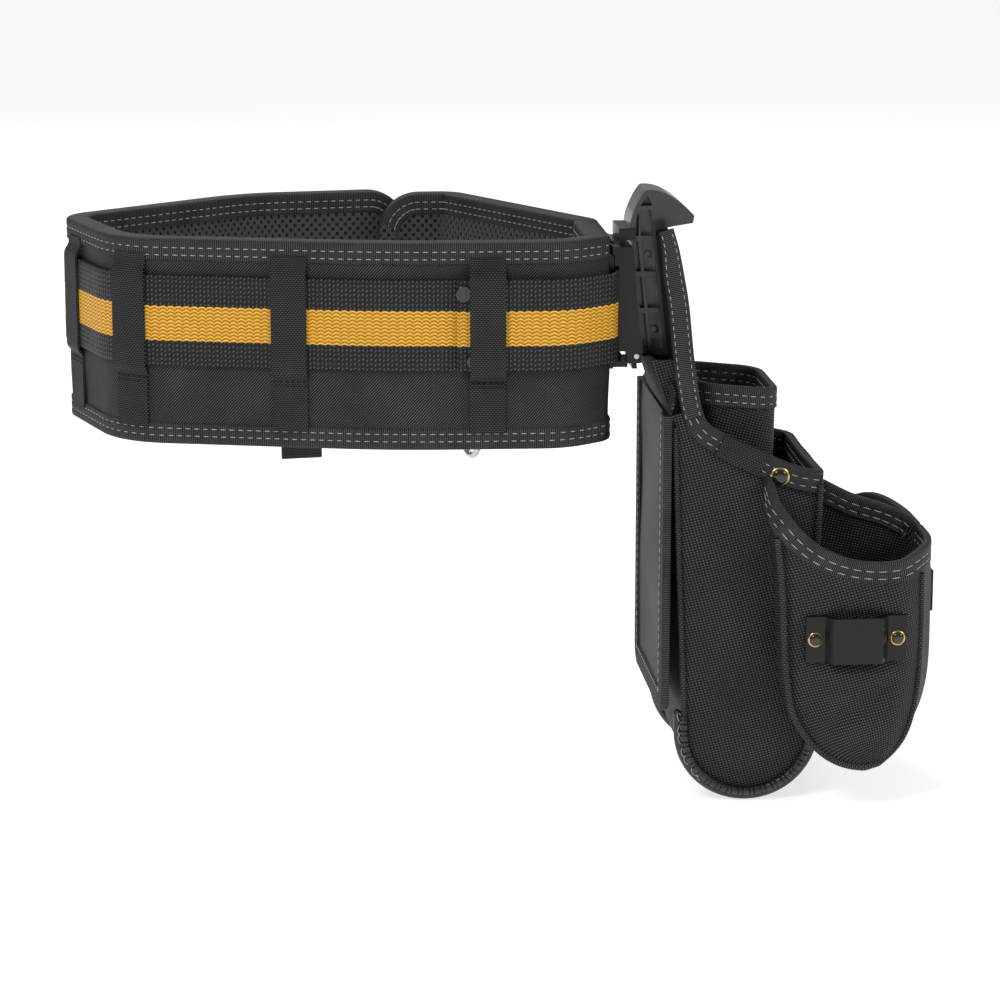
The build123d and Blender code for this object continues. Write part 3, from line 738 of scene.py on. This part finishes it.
def pad_edge(side):
    """The edge of one sleeve: along the top, round its free end and back along the bottom."""
    quarter = np.linspace(0, math.pi / 2, 20)[1:]
    if side == "right":
        s, away = np.linspace(PAD_MEET, END_RADIUS, 150), 1
    else:
        s, away = np.linspace(PAD_MEET, PAD_STOP - END_RADIUS, 170), -1
    top_s = np.concatenate([s, s[-1] - away * END_RADIUS * np.sin(quarter)])
    top_z = PAD_HALF - END_RADIUS * np.concatenate([np.zeros(len(s)), 1 - np.cos(quarter)])
    straight = np.linspace(PAD_HALF - END_RADIUS, END_RADIUS - PAD_HALF, 30)[1:-1]
    all_s = np.concatenate([top_s, np.full(len(straight), top_s[-1]), top_s[::-1]])
    all_z = np.concatenate([top_z, straight, -top_z[::-1]])
    inward_s = np.maximum(0, END_RADIUS - np.abs(all_s - top_s[-1])) / END_RADIUS * away
    inward_z = -np.sign(all_z) * np.sqrt(np.maximum(0, 1 - inward_s**2))
    # The edge is pressed in behind the hub, where the latch swings back over it.
    pressed = ease((36 - np.abs(all_s - BELT.near(150, HUB_Y))) / 12) * ease((all_z - 20) / 15)
    middle = -PAD_THICK / 2 - 2.2 * pressed
    line = BELT.at(all_s, middle, all_z)
    inward = BELT.at(all_s + inward_s / 2, middle, all_z + inward_z / 2)
    _, out = BELT.frame_at(all_s)
    return Edge(line, inward - line, level(out))


def make_pad_bindings():
    half = PAD_THICK / 2 + 0.2
    for side, _, _, body, prefix in SLEEVES:
        edge = pad_edge(side)
        tape, thread = binding(Soup(), edge, half), stitch_rows(Soup(), edge, half)
        covers = (prefix + "top_binding", prefix + "bottom_binding")
        tape.piece("pad_binding_" + side, EDGING, body, "binding_tape", covers)
        thread.piece("pad_stitches_" + side, THREAD, body, "binding_tape")


# ---- webbing ----
def band(name, path, body, replaces):
    """Webbing that follows points of (distance along the belt, offset)."""
    path = resample(np.asarray(path, float), int(lengths(np.asarray(path, float))[-1] / 3.0))
    way = direction(path)
    z = np.concatenate([[WEB_LOW, WEB_LOW + 0.5], np.linspace(WEB_LOW + 1.5, WEB_HIGH - 1.5, 18),
                        [WEB_HIGH - 0.5, WEB_HIGH]])
    round_off = np.sqrt(np.clip(np.minimum(z - WEB_LOW, WEB_HIGH - z) / 0.9, 0, 1))
    half = WEB_THICK * (0.35 + 0.65 * round_off) / 2
    wave = 0.25 * ripple(path[:, :1] * 0.8, z, 21) * round_off

    def face(height):
        return BELT.at(path[:, :1] - way[:, 1:] * height, path[:, 1:] + way[:, :1] * height, z)

    soup = Soup().closed(*two_faced(face(half + wave), face(-half), joined(lengths(path)[:, None], z)))
    soup.piece(name, WEBBING, body, "belt_webbing", replaces)


def make_webbing():
    upper, lower, end = UPPER_WEB + WEB_THICK / 2, LOWER_WEB + WEB_THICK / 2, -3.4
    right = [(BELT.near(52, 98), upper), (BELT.near(62, -113), upper)]
    band("webbing_right_band", right, "belt", ("webbing_right",))
    turn, middle, reach = PAD_STOP + 7.5, (lower + end) / 2, (lower - end) / 2
    bend = [(turn + reach * math.sin(a), middle + reach * math.cos(a)) for a in np.linspace(0, math.pi, 9)]
    left = [(BELT.near(108, -114), lower)] + bend + [(PAD_STOP + 1, end)]
    band("webbing_left_band", left, "belt+belt_end", ("webbing_left", "end_webbing"))


def rivet_heads(name, material, places, radius, rise, replaces=()):
    """Domed heads, each at a place with its outward direction."""
    soup = Soup()
    profile = np.array([(0.02, rise), (0.35, rise * 0.98), (0.7, rise * 0.86), (0.9, rise * 0.6),
                        (1.0, rise * 0.25), (1.0, -0.6), (0.02, -0.6)])
    angle = np.linspace(0, 2 * math.pi, 28, endpoint=False)[:, None]
    for place, out in places:
        side = unit(np.cross(out, (0, 0, 1.0)))
        across = np.cos(angle) * side + np.sin(angle) * np.cross(side, out)
        ring = place + across[:, None] * profile[:, :1] * radius + np.array(out) * profile[:, 1:]
        soup.rings(ring, np.zeros((29, len(profile) + 1, 2)), loop=True)
    soup.piece(name, material, "pouch", "brass_rivet", replaces, sharp=40)


def make_loop(name, centre, web_offset, body, bulge):
    """Tape over the webbing, tacked below it, with its tail sewn down to the bottom binding."""
    over = web_offset + WEB_THICK + 1.1 + bulge
    z = np.concatenate([np.linspace(50, 38, 9), np.linspace(36, -12, 26), np.linspace(-14, -22, 9),
                        np.linspace(-24, -49, 12)])
    rise = ease((46.5 - z) / 7) * ease((z + 19.5) / 6)
    k = 1.5 + (over - 1.5) * rise + 0.25 * ripple(z * 3, z, 31 + len(name)) * rise
    k = np.where(z < -19, 1.7, k)
    share = np.linspace(-1, 1, 11)[:, None]
    s = centre + LOOP_WIDE / 2 * share
    soup = Soup().sheet(BELT.at(s, k + 0.18 * np.abs(share) ** 6, z), 1.3, joined(s, z))
    soup.piece(name + "_tape", LOOPING, body, "loop_tape", (name,))


def make_loops():
    loops = {
        "loop_front_right": (79, -114, UPPER_WEB, "belt", 0.8),
        "loop_front_middle": (-30, -98, LOWER_WEB, "belt", 0.0),
        "loop_front_left": (-118, -73, LOWER_WEB, "belt", 0.0),
        "loop_left_side": (-149, -12, LOWER_WEB, "belt", 0.0),
        "loop_far_right": (120, 22, UPPER_WEB, "belt", 0.0),
        "loop_end_left": (-105, 60, LOWER_WEB, "belt_end", 0.0),
        "loop_end_right": (6, 108, LOWER_WEB, "belt_end", 0.0),
    }
    tacks = {"belt": Soup(), "belt_end": Soup()}
    for name, (x, y, offset, body, bulge) in loops.items():
        centre = BELT.near(x, y)
        make_loop(name, centre, offset, body, bulge)
        s = centre + np.linspace(-8.4, 8.4, 6)
        _, out = BELT.frame_at(s)
        along, out = joined(out[:, 1], -out[:, 0], 0), level(out)
        up = np.broadcast_to((0, 0, 1.0), out.shape)
        for height in (-20.5, -23.0):
            tacks[body].beads(BELT.at(s, 2.55, height), along, up, out, (1.3, 0.28, 0.25))
    for body, soup in tacks.items():
        soup.piece("loop_tacks_" + body, LOOPING, body, "loop_tape")


# ---- ring tab and hanging strap ----
def folded_tape(name, place, path, width, thick, body, replaces):
    """A tape that follows points of (offset, height) on one place of the belt."""
    path = np.asarray(path, float)
    path = resample(path, int(lengths(path)[-1] / 0.9))
    s = BELT.near(*place) + np.linspace(-width / 2, width / 2, 9)[:, None]
    soup = Soup().sheet(BELT.at(s, path[:, 0], path[:, 1]), thick, joined(s, lengths(path)))
    soup.piece(name, LOOPING, body, "loop_tape", replaces)


def arc(x, y, radius, start, stop, count):
    angle = np.radians(np.linspace(start, stop, count))
    return [(x + radius * math.cos(a), y + radius * math.sin(a)) for a in angle]


def make_ring_tab():
    over = UPPER_WEB + WEB_THICK + 0.9
    path = [(1.0, 47), (over, 44), (over, -14), (2.2, -20), (2.0, -56)] + arc(5.2, -64, 3.5, 160, 440, 24)
    folded_tape("ring_tab_tape", (81.5, 88.5), path, 7.0, 1.0, "belt", ("ring_tab",))


def make_hanging_strap():
    inner, outer = LOWER_WEB + WEB_THICK + 1.1, 7.4
    path = [(1.2, 46), (inner, 43), (inner, -60), (inner + 0.2, -108)]
    path += arc((inner + outer) / 2, -108.4, (outer - inner) / 2, 180, 360, 10)
    path += [(outer, -100), (outer - 0.4, -60), (outer, -26), (inner + 1.6, -20)]
    folded_tape("hanging_strap_tape", (-18, 105), path, 25.0, 1.4, "belt_end", ("hanging_strap",))


# ---- pouch ----
POCKET_SIDE = [(184, -36), (194, -262), (264, -262), (269.5, -36)]
POCKET_RIM = [
    (170, -40), (196, -40), (202, -46.5), (207, -50), (220, -57.5), (232, -63), (244, -69), (256, -74.5),
    (300, -77),
]
# The bound edge on the near side, from under the handle down the wing and forward along the rim.
WING_EDGE = [
    (185.2, -93, 62), (188.2, -94.5, 51), (190.6, -97, 37.5), (193.2, -100, 21), (194.4, -103, 7),
    (195.6, -106, -8), (197.4, -109.5, -24), (199.3, -112, -36), (202.2, -113.8, -44.5),
    (207.5, -115, -49), (219.8, -115.4, -55.6), (231.7, -115.6, -61.3), (243.8, -115.6, -67.3),
    (256.2, -115.5, -72.2), (262, -115.3, -73.6),
]
POCKET_HALF = 55.0
FRONT_SIDE = [
    (237, -60), (239.5, -106), (242.9, -137), (244.6, -174), (248, -203), (254, -218.5), (263.5, -231),
    (276, -239.5), (290, -243), (306, -241), (320, -233.5), (329.5, -221.5), (334, -207), (336, -190),
    (336.8, -163), (337.5, -120), (339.5, -60),
]
FRONT_PANEL = [
    (239.5, -106), (242.9, -137), (245, -174), (248.6, -203), (254.5, -217.5), (264, -229.5),
    (276, -238), (290, -241.5), (304, -238), (314, -227.5), (320, -211), (323, -191), (324, -165),
    (323.5, -131),
]
FRONT_FACE = [
    (243, -119.4), (243, -130), (244.5, -136.5), (248.5, -140.8), (256, -142), (300, -142),
    (312, -140.8), (321, -135), (328, -124), (333.5, -107), (336.8, -88), (338, -70),
]
FRONT_WALL = [(338, -70), (338, -61), (272, -61)]
FRONT_BACK, FRONT_DEEP = 243, 95    # where the front pockets start behind the clip, and their depth
CLIP_X, CLIP_Z = 285.5, -165        # middle of the tape clip
WALL = 2.0
LEAN = 0.105


def across_hub(points):
    """Points moved to the same places on the other side of the hub."""
    return points * (1, -1, 1) + (0, 2 * HUB_Y, 0)


def mirrored(soup):
    other = Soup()
    other.points = [across_hub(p) for p in soup.points]
    other.faces, other.uvs, other.total = soup.faces, soup.uvs, soup.total
    return other


def both(soup, name, material, slot, replaces=()):
    """The near piece, and its mirror on the far side."""
    soup.piece(name + "_near_side", material, "pouch", slot, [r + "_near" for r in replaces])
    mirrored(soup).piece(name + "_far_side", material, "pouch", slot, [r + "_far" for r in replaces])


class Outline:
    """A pocket's side seen along Y: where its back and front edges are at each height."""

    def __init__(self, points, radius=0):
        self.line = rounded(points, radius, 400) if radius else spline(points, 400)
        low = int(np.argmin(self.line[:, 1]))
        self.low = float(self.line[low, 1])
        self.back, self.front = self.line[:low + 1][::-1], self.line[low:]

    def edges(self, z):
        return [np.interp(z, edge[:, 1], edge[:, 0]) for edge in (self.back, self.front)]

    def below(self, rim, grow=0.0):
        """The part of the outline under a rim, moved outward by grow, with its outward direction."""
        out = beside(self.line)
        line = self.line + out * grow
        keep = line[:, 1] <= rim(line[:, 0])
        return line[keep], out[keep]


def height_of(points):
    points = np.asarray(points, float)
    return lambda x: np.interp(x, points[:, 0], points[:, 1])


def rim_edge(line, out):
    """The edge of a cloth whose outward direction is known at each point of its rim."""
    down = unit(np.cross(out, direction(line)))
    down = down * np.where(down[:, 2:] > 0, -1, 1)
    return Edge(line, down, out)


def bound(name, edge, half, body, replaces, rows=ROWS):
    """A bound edge: its tape and its stitches."""
    tape, thread = binding(Soup(), edge, half), stitch_rows(Soup(), edge, half, rows)
    return [tape.piece(name + "_tape", EDGING, body, "binding_tape", replaces),
            thread.piece(name + "_stitches", THREAD, body, "binding_tape")]


def make_main_pocket():
    side, rim = Outline(POCKET_SIDE, 36), height_of(POCKET_RIM)
    u, v = np.linspace(0, 1, 41)[:, None], np.linspace(0, 1, 61)
    x = 184 + 86 * u
    for _ in range(4):
        top = rim(x)
        z = side.low + (top - side.low) * (1 - np.sin(v * math.pi / 2))
        left, right = side.edges(z)
        x = left + (right - left) * u
    puff = np.sin(math.pi * u) ** 0.7 * ease((top - z) / 30) * ease((z - side.low) / 34)
    walls = Soup()
    for face, seed in ((-1, 41), (1, 43)):
        y = HUB_Y + face * (POCKET_HALF + puff * (3.2 + 1.3 * ripple(x, z, seed)) - 1)
        walls.sheet(joined(x, y, z), WALL, joined(x, z))
    line, out = side.below(rim)
    y = np.linspace(-POCKET_HALF, POCKET_HALF, 31)
    sag = np.cos(math.pi * y / (2 * POCKET_HALF)) * 1.8
    across = joined(line[:, :1] + out[:, :1] * sag, HUB_Y + y, line[:, 1:] + out[:, 1:] * sag)
    walls.sheet(across, WALL, joined(lengths(line)[:, None], y))
    walls.piece("main_pocket_cloth", POUCH, "pouch", "pouch_fabric", ("main_pocket",))

    seam, _ = side.below(lambda x: rim(x) - 6)
    piping = Soup().tube(joined(seam[:, 0], HUB_Y - POCKET_HALF - 1.6, seam[:, 1]), 1.7, 10)
    both(piping, "main_piping_cord", PIPING, "binding_tape", ("main_piping",))


def rounded_ends(along):
    """How full a cord is at each distance along it: it tapers off over its first and last 3 mm."""
    return ease(along / 3 + 0.25) * ease((along[-1] - along) / 3 + 0.25)


def make_bumper():
    """A segmented rubber cord under the main pocket, a plain one behind it, and loose thread."""
    side, face = Outline(POCKET_SIDE, 36), HUB_Y - POCKET_HALF
    bumper, thread = Soup(), Soup()
    inner, _ = side.below(lambda x: -215, 0.4)
    inner = resample(inner, int(lengths(inner)[-1] / 0.25))
    along = lengths(inner)
    long, pair = 4.1, 6.7       # a long block, and a long and a short one together
    since = np.mod(along + 1.0, pair)
    gap = np.minimum(np.minimum(since, pair - since), np.abs(since - long))
    blocks = (2.5 - 0.8 * np.exp(-((gap / 0.35) ** 2))) * rounded_ends(along)
    bumper.tube(joined(inner[:, 0], face - 1.6, inner[:, 1]), blocks, 16)
    outer, out = side.below(lambda x: -212, 3.6)
    along, depth = lengths(outer), face + 1.4
    bumper.tube(joined(outer[:, 0], depth, outer[:, 1]), 2.5 * rounded_ends(along), 12)
    both(bumper, "bumper_cord", RUBBER, "bumper_rubber", ("bumper",))
    # Two loose strands wander down the plain cord on the leg side.
    at, over = np.linspace(2, 46, 130), 2.7
    for phase in (0.0, 2.2):
        turn = 0.5 * np.sin(at * 0.45 + phase) - 0.35
        place = read_off(at, along, outer) + read_off(at, along, out) * over * np.sin(turn)[:, None]
        thread.tube(joined(place[:, 0], depth - over * np.cos(turn), place[:, 1]), 0.21, 6)
    both(thread, "bumper_thread", THREAD, "binding_tape")


def make_main_rim():
    """One bound edge: down the near wing, round the rim and up the far wing."""
    near = spline(WING_EDGE, 150)
    front = rounded([near[-1], (268.8, -115.3, -75.0), (268.8, HUB_Y, -76.5)], 6, 60)[1:]
    half_line = np.vstack([near, front])
    half_out = np.vstack([np.tile((0, -1.0, 0), (len(near), 1)), level(beside(front))])
    line = np.vstack([half_line, across_hub(half_line)[::-1][1:]])
    out = np.vstack([half_out, (half_out * (1, -1, 1))[::-1][1:]])
    way = direction(line)
    out = unit(out - way * np.sum(out * way, axis=1)[:, None])
    edge = Edge(line, np.cross(way, out), out)
    share = np.linspace(0, 1, 200)
    from_end = np.minimum(share, 1 - share) * edge.length
    width = BINDING * (0.66 + 0.24 * ease(from_end / 30) + 0.16 * ease((from_end - 100) / 30))
    tape, thread, patch, wings = Soup(), Soup(), Soup(), Soup()

    def part(first, last):
        at = np.linspace(first, last, 80)
        return Edge(*edge.at(at)[:3]), np.interp(at / edge.length, share, width)

    wing = 104.0
    middle, wide = part(wing, edge.length - wing)
    binding(tape, middle, 1.3, width=wide)
    stitch_rows(thread, middle, 1.3, scale=wide / BINDING, stitch=4.0, pitch=5.6)
    for first, last in ((0, wing + 2), (edge.length - wing - 2, edge.length)):
        side, wide = part(first, last)
        binding(wings, side, 2.4, width=wide)
        stitch_rows(thread, side, 2.2, (1.8, 10.6), wide / BINDING, 2.6, 4.4)
    for start in (124, edge.length - 152):
        cover, wide = part(start, start + 28)
        binding(patch, cover, 2.2, width=wide * 1.04)
    tape.piece("main_rim_tape", RIM_TAPE, "pouch", "binding_tape", ("main_rim_binding",))
    wings.piece("wing_tapes", EDGING, "pouch", "binding_tape", ("wing_binding_near", "wing_binding_far"))
    patch.piece("main_rim_patches", LOOPING, "pouch", "binding_tape")
    thread.piece("main_rim_stitches", THREAD, "pouch", "binding_tape")


def make_inner_sleeve():
    left, right, half, low, high = 200.5, 246.0, 35.0, -150.0, -29.0
    middle = (left + right) / 2
    corners = [(right, half), (right, -half), (left, -half), (left, half)]
    ring = rounded([(middle, half)] + corners + [(middle + 0.01, half)], 12, 150)
    turn = np.linspace(0.2, math.pi / 2, 6)
    rows = np.concatenate([np.linspace(high, low + 6, 30), low + 6 - 6 * np.sin(turn), [low, low]])
    squeeze = np.concatenate([np.ones(30), 0.88 + 0.12 * np.cos(turn), [0.6, 0.05]])
    centre = np.array([middle, 0.0])
    spread = (ring[:, None] - centre) * squeeze[:, None] + centre
    puff = 1.2 * ripple(ring[:, :1] * 0.7 + ring[:, 1:], rows[None], 57)
    out = -beside(ring)
    spread = spread + out[:, None] * (puff * ease((high - rows) / 25) * (squeeze > 0.9))[..., None]
    tilt = (middle - ring[:, :1]) * 0.1
    z = rows + tilt * ease((rows + 80) / 50)
    cloth = Soup().sheet(joined(spread[..., 0], HUB_Y + spread[..., 1], z), 1.5,
                         joined(lengths(ring)[:, None], rows))
    cloth.piece("inner_sleeve_cloth", POUCH, "pouch", "pouch_fabric", ("inner_sleeve",))
    rim = joined(ring[:, 0], HUB_Y + ring[:, 1], high + tilt[:, 0])
    bound("sleeve_rim", rim_edge(rim, level(out)), 0.8, "pouch", ("sleeve_rim_binding",))


FRONT = Outline(FRONT_SIDE)
FRONT_LINE = resample(np.vstack([spline(FRONT_FACE, 200), rounded(FRONT_WALL, 4, 90)[1:]]), 260)
FRONT_HEIGHT = [
    (243, -119.4, -77), (243, -130, -80), (244.5, -136.5, -86), (249, -141, -93), (257, -142, -104),
    (268, -142, -113.5), (283, -142, -120), (298, -142, -122.3), (312, -140.8, -121.3), (321, -135, -118),
    (328, -124, -117), (336, -95, -118.7), (338, -64, -120), (332, -61, -115), (319, -61, -108.3),
    (301, -61, -101.9), (286, -61, -94.2), (272, -61, -86),
]


def front_rim_heights():
    """The rim's height at each point of the pocket's plan."""
    marks = np.array(FRONT_HEIGHT, float)
    along = lengths(FRONT_LINE)
    at = [along[np.argmin(np.linalg.norm(FRONT_LINE - m[:2], axis=1))] for m in marks]
    smooth = spline(np.column_stack([at, marks[:, 2]]), 300)
    return np.interp(along, smooth[:, 0], smooth[:, 1])


# Creases across the near panel: start, end, depth and width.
CREASES = (((262, -222), (314, -187), 2.4, 5.0), ((258, -196), (290, -212), 1.2, 4.0))


def front_shell(plan, top, v):
    """A place on the pocket's shell below each point of its plan; v is 0 at the rim and 1 at the bottom."""
    z = FRONT.low + (top - FRONT.low) * (1 - np.sin(v * math.pi / 2))
    left, right = FRONT.edges(z)
    x = left + (right - left) * (plan[..., 0] - FRONT_BACK) / FRONT_DEEP
    y = plan[..., 1] + 0 * z
    panel = ease((x - left - 8) / 20) * ease((left + (right - left) * 0.8 - x) / 18) * (y < -134)
    swell = ease((z - FRONT.low - 4) / 28) * ease((top - z) / 26)
    crease = np.zeros_like(z)
    for start, end, deep, wide in CREASES:
        span = math.dist(start, end)
        way = unit(np.subtract(end, start))
        away = (x - start[0]) * way[1] - (z - start[1]) * way[0]
        along = (x - start[0]) * way[0] + (z - start[1]) * way[1]
        crease = crease + deep * np.exp(-(away / wide) ** 2) * ease(along / 12) * ease((span - along) / 12)
    behind_clip = ease((36 - np.abs(x - CLIP_X)) / 8) * ease((20 - np.abs(z - CLIP_Z)) / 7)
    y = y - panel * swell * (3.0 + 1.2 * ripple(x, z, 61)) * (1 - behind_clip) + panel * crease
    front = ease((plan[..., 0] - 330) / 6) * ease((y + 124) / 14) * ease((-61 - y) / 14)
    x = x + front * swell * (2.6 + 1.2 * ripple(y, z, 67))
    return joined(x, y, z)


def make_front_pockets():
    top = front_rim_heights()
    points = front_shell(FRONT_LINE[:, None], top[:, None], np.linspace(0, 1, 60))
    shell = Soup().sheet(points, WALL, joined(lengths(FRONT_LINE)[:, None], points[..., 2]))
    both(shell, "front_pocket_cloth", POUCH, "pouch_fabric", ("front_pocket",))

    edge = rim_edge(points[:, 0], level(beside(FRONT_LINE)))
    tape = binding(Soup(), edge, WALL / 2)
    thread = stitch_rows(Soup(), edge, WALL / 2, stitch=5.2, pitch=7.0)
    both(tape, "front_rim_tape", EDGING, "binding_tape", ("front_rim",))
    both(thread, "front_rim_stitches", THREAD, "binding_tape")

    seam = spline(FRONT_PANEL, 240)
    left, right = FRONT.edges(seam[:, 1])
    across = FRONT_BACK + (seam[:, 0] - left) / (right - left) * FRONT_DEEP
    y = np.interp(across, (243, 312, 321, 328, 333.5, 338), (-142, -140.8, -135, -124, -107, -70)) - 1.5
    x = seam[:, 0] + 1.3 * ease((seam[:, 0] - 305) / 18)
    piping = Soup().tube(joined(x, y, seam[:, 1]), 1.8, 10)
    both(piping, "front_piping_cord", PIPING, "binding_tape", ("front_piping",))


def make_back_panel():
    """A thin padded panel that leans with the hanger."""
    low, high = -44.0, 58.0
    z = np.linspace(high, low, 40)[:, None]
    share = np.sin(np.linspace(-math.pi / 2, math.pi / 2, 33))
    y = (33 + 18 * (high - z) / (high - low)) * share
    full = (1 - np.abs(share) ** 6) * ease((z - low + 3) / 8) * ease((high + 3 - z) / 8)
    x, thick = 189.2 - LEAN * z, 3.0 + 1.6 * full
    front, back = joined(x + thick + 0.4 * ripple(y, z, 71), HUB_Y + y, z), joined(x - thick, HUB_Y + y, z)
    soup = Soup().closed(*two_faced(front, back, joined(y, z)))
    made = soup.piece("back_panel_pad", COATED, "pouch", "panel_fabric", ("back_panel",))


def make_side_gussets():
    """The cloth that closes each side between the back panel's foot and the strip above the leg flap."""
    down, forward = np.linspace(0, 1, 20)[:, None], np.linspace(0, 1, 12)
    x = (173 + 10.5 * down) * (1 - forward) + (190.5 + 6 * down) * forward
    z = -11 - 31 * down - 5 * forward * down
    y = -103.5 - 6.5 * down + 0.8 * np.sin(math.pi * forward) * np.sin(math.pi * down)
    gusset = Soup().sheet(joined(x, y, z), 1.4, joined(x, z))
    both(gusset, "side_gusset", POUCH, "pouch_fabric")


def make_leg_flap():
    low, high, half, radius, x = -214.0, -40.0, 60.0, 12.0, 180.3
    y = np.linspace(-half, half, 49)[:, None]
    z = high + (low + corner_drop(half - np.abs(y), radius) - high) * np.linspace(0, 1, 60)
    wave = 0.6 * ripple(y, z, 83) * ease((high - z) / 20)
    cloth = Soup().sheet(joined(x + wave, HUB_Y + y, z), 2.2, joined(y, z))
    hung = cloth.piece("leg_flap_cloth", COATED, "leg_flap", "panel_fabric", ("leg_flap",))
    flat = rounded([(-half, high), (-half, low), (half, low), (half, high)], radius, 300)
    line = joined(x, HUB_Y + flat[:, 0], flat[:, 1])
    way = direction(line)
    edge = Edge(line, joined(0, -way[:, 2], way[:, 1]), np.broadcast_to((1.0, 0, 0), line.shape))
    hem = bound("leg_flap_edge", edge, 1.2, "leg_flap", ("leg_flap_binding",), rows=(10.7,))


def make_flap_strip():
    """The tape that the leg flap hangs from: flat in the middle, with its ends drawn down and forward."""
    end = spline([(173.2, 30, -10.5), (180.5, 41, -16.5), (184.6, 50, -25.5), (184.2, 55, -33),
                  (181.5, 58.5, -40.5)], 16)
    down, side = np.linspace(0, 1, 16), np.linspace(-1, 1, 33)[:, None]
    x, z = 172.0 + 9.6 * down, -13.4 - 27.1 * down
    x, y, z = x + (end[:, 0] - x) * side**4, end[:, 1] * side, z + (end[:, 2] - z) * side**4
    strip = Soup().sheet(joined(x, HUB_Y + y, z), 1.4, joined(29 * down, y))
    strip.piece("flap_strip_tape", LOOPING, "pouch", "loop_tape", ("flap_strip",))


def make_fittings():
    """Press studs and clip rivets, each a brass rim under a polished cap, and the side tab."""
    for name, places, cap_rise, rim, cap, node in (
            ("snap", [((244.5, HUB_Y + f * 58.6, -76.5), (0.0, f, 0.0)) for f in (-1, 1)], 0.5,
             (5.6, 1.2), (4.6, 1.9), "rim_snaps"),
            ("clip_rivet", [((x, -145.3, CLIP_Z), (0.0, -1.0, 0.0)) for x in (262.0, 309.0)], 0.4,
             (4.3, 1.0), (3.5, 1.7), "tape_clip_rivets")):
        raised = [(np.add(place, np.multiply(out, cap_rise)), out) for place, out in places]
        rivet_heads(name + "_rims", BRASS, places, *rim, (node,))
        rivet_heads(name + "_caps", GLOSS, raised, *cap)
    y, z = np.linspace(-84, -68, 9)[:, None], np.linspace(-166, -142, 14)
    tab = Soup().sheet(joined(341.2, y, z), 1.8, joined(y, z))
    tab.piece("side_tab_tape", LOOPING, "pouch", "loop_tape", ("side_tab",))


# ---- finish of the moulded and metal parts that the CAD model makes ----
def dress(names, material, bevel=0.3):
    for name in names:
        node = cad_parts[name]
        node.data.materials.clear()
        node.data.materials.append(material)
        weld = node.modifiers.new("weld", "WELD")
        weld.merge_threshold = 1e-6
        round_off = node.modifiers.new("bevel", "BEVEL")
        round_off.width, round_off.segments = bevel * MM, 2
        round_off.limit_method, round_off.angle_limit = "ANGLE", math.radians(35)
        node.modifiers.new("normals", "WEIGHTED_NORMAL")


def dress_parts():
    dress(("hub_back_plate", "hub_face", "buckle_base"), HUB, 0.4)
    dress(("hanger_plate",), HANGER, 0.45)
    dress(("hanger_tongue",), HUB, 0.3)
    dress(("hub_latch",), GLOSS, 0.25)
    dress(("webbing_rivets", "hanger_rivets"), GLOSS, 0.3)
    dress(("tape_clip",), CLIP, 0.5)
    dress(("hub_pins", "latch_pin", "buckle_stud", "buckle_plate"), STEEL, 0.15)
    dress(("tool_ring",), STEEL, 0.05)


# ---- stage ----
def area_light(name, place, size, power, aim=(0.1, 0, -0.1)):
    data = bpy.data.lights.new(name, "AREA")
    data.shape, data.size, data.energy = "DISK", size, power
    light = bpy.data.objects.new(name, data)
    light.location = place
    light.rotation_euler = (Vector(aim) - Vector(place)).to_track_quat("-Z", "Y").to_euler()
    bpy.context.collection.objects.link(light)


def make_stage():
    floor_mesh = bpy.data.meshes.new("floor")
    low = -0.2682
    corners = [(-20, -20, low), (20, -20, low), (20, 20, low), (-20, 20, low)]
    floor_mesh.from_pydata(corners, [], [(0, 1, 2, 3)])
    f = Finish("floor", roughness=0.6, specular=0.2)
    f.colour((0.70, 0.70, 0.70))
    f.shader.inputs["Emission Color"].default_value = (1, 1, 1, 1)
    f.shader.inputs["Emission Strength"].default_value = 0.72
    floor_mesh.materials.append(f.material)
    floor = bpy.data.objects.new("floor", floor_mesh)
    bpy.context.collection.objects.link(floor)
    area_light("key", (-1.1, -1.5, 1.9), 0.9, 27)
    area_light("side", (1.9, -0.9, 0.9), 0.8, 11)
    area_light("back", (-0.3, 1.9, 1.7), 1.2, 24)
    world = bpy.data.worlds.new("studio")
    world.use_nodes = True
    world.node_tree.nodes["Background"].inputs["Color"].default_value = (1, 1, 1, 1)
    world.node_tree.nodes["Background"].inputs["Strength"].default_value = 0.28
    scene = bpy.context.scene
    scene.world = world
    scene.view_settings.view_transform = "Standard"
    turn, rise, away = math.radians(-5), math.radians(13), 2.04
    target = Vector((0.0973, 0.014, -0.1174))
    back = Vector((math.sin(turn) * math.cos(rise), -math.cos(turn) * math.cos(rise), math.sin(rise)))
    camera = bpy.data.objects.new("camera", bpy.data.cameras.new("camera"))
    camera.data.lens = 121.9
    camera.location = target + back * away
    camera.rotation_euler = (-back).to_track_quat("-Z", "Y").to_euler()
    bpy.context.collection.objects.link(camera)
    scene.camera = camera


make_pad()
make_pad_bindings()
make_webbing()
make_loops()
make_ring_tab()
make_hanging_strap()
make_main_pocket()
make_bumper()
make_main_rim()
make_inner_sleeve()
make_front_pockets()
make_back_panel()
make_side_gussets()
make_leg_flap()
make_flap_strip()
make_fittings()
dress_parts()
make_stage()
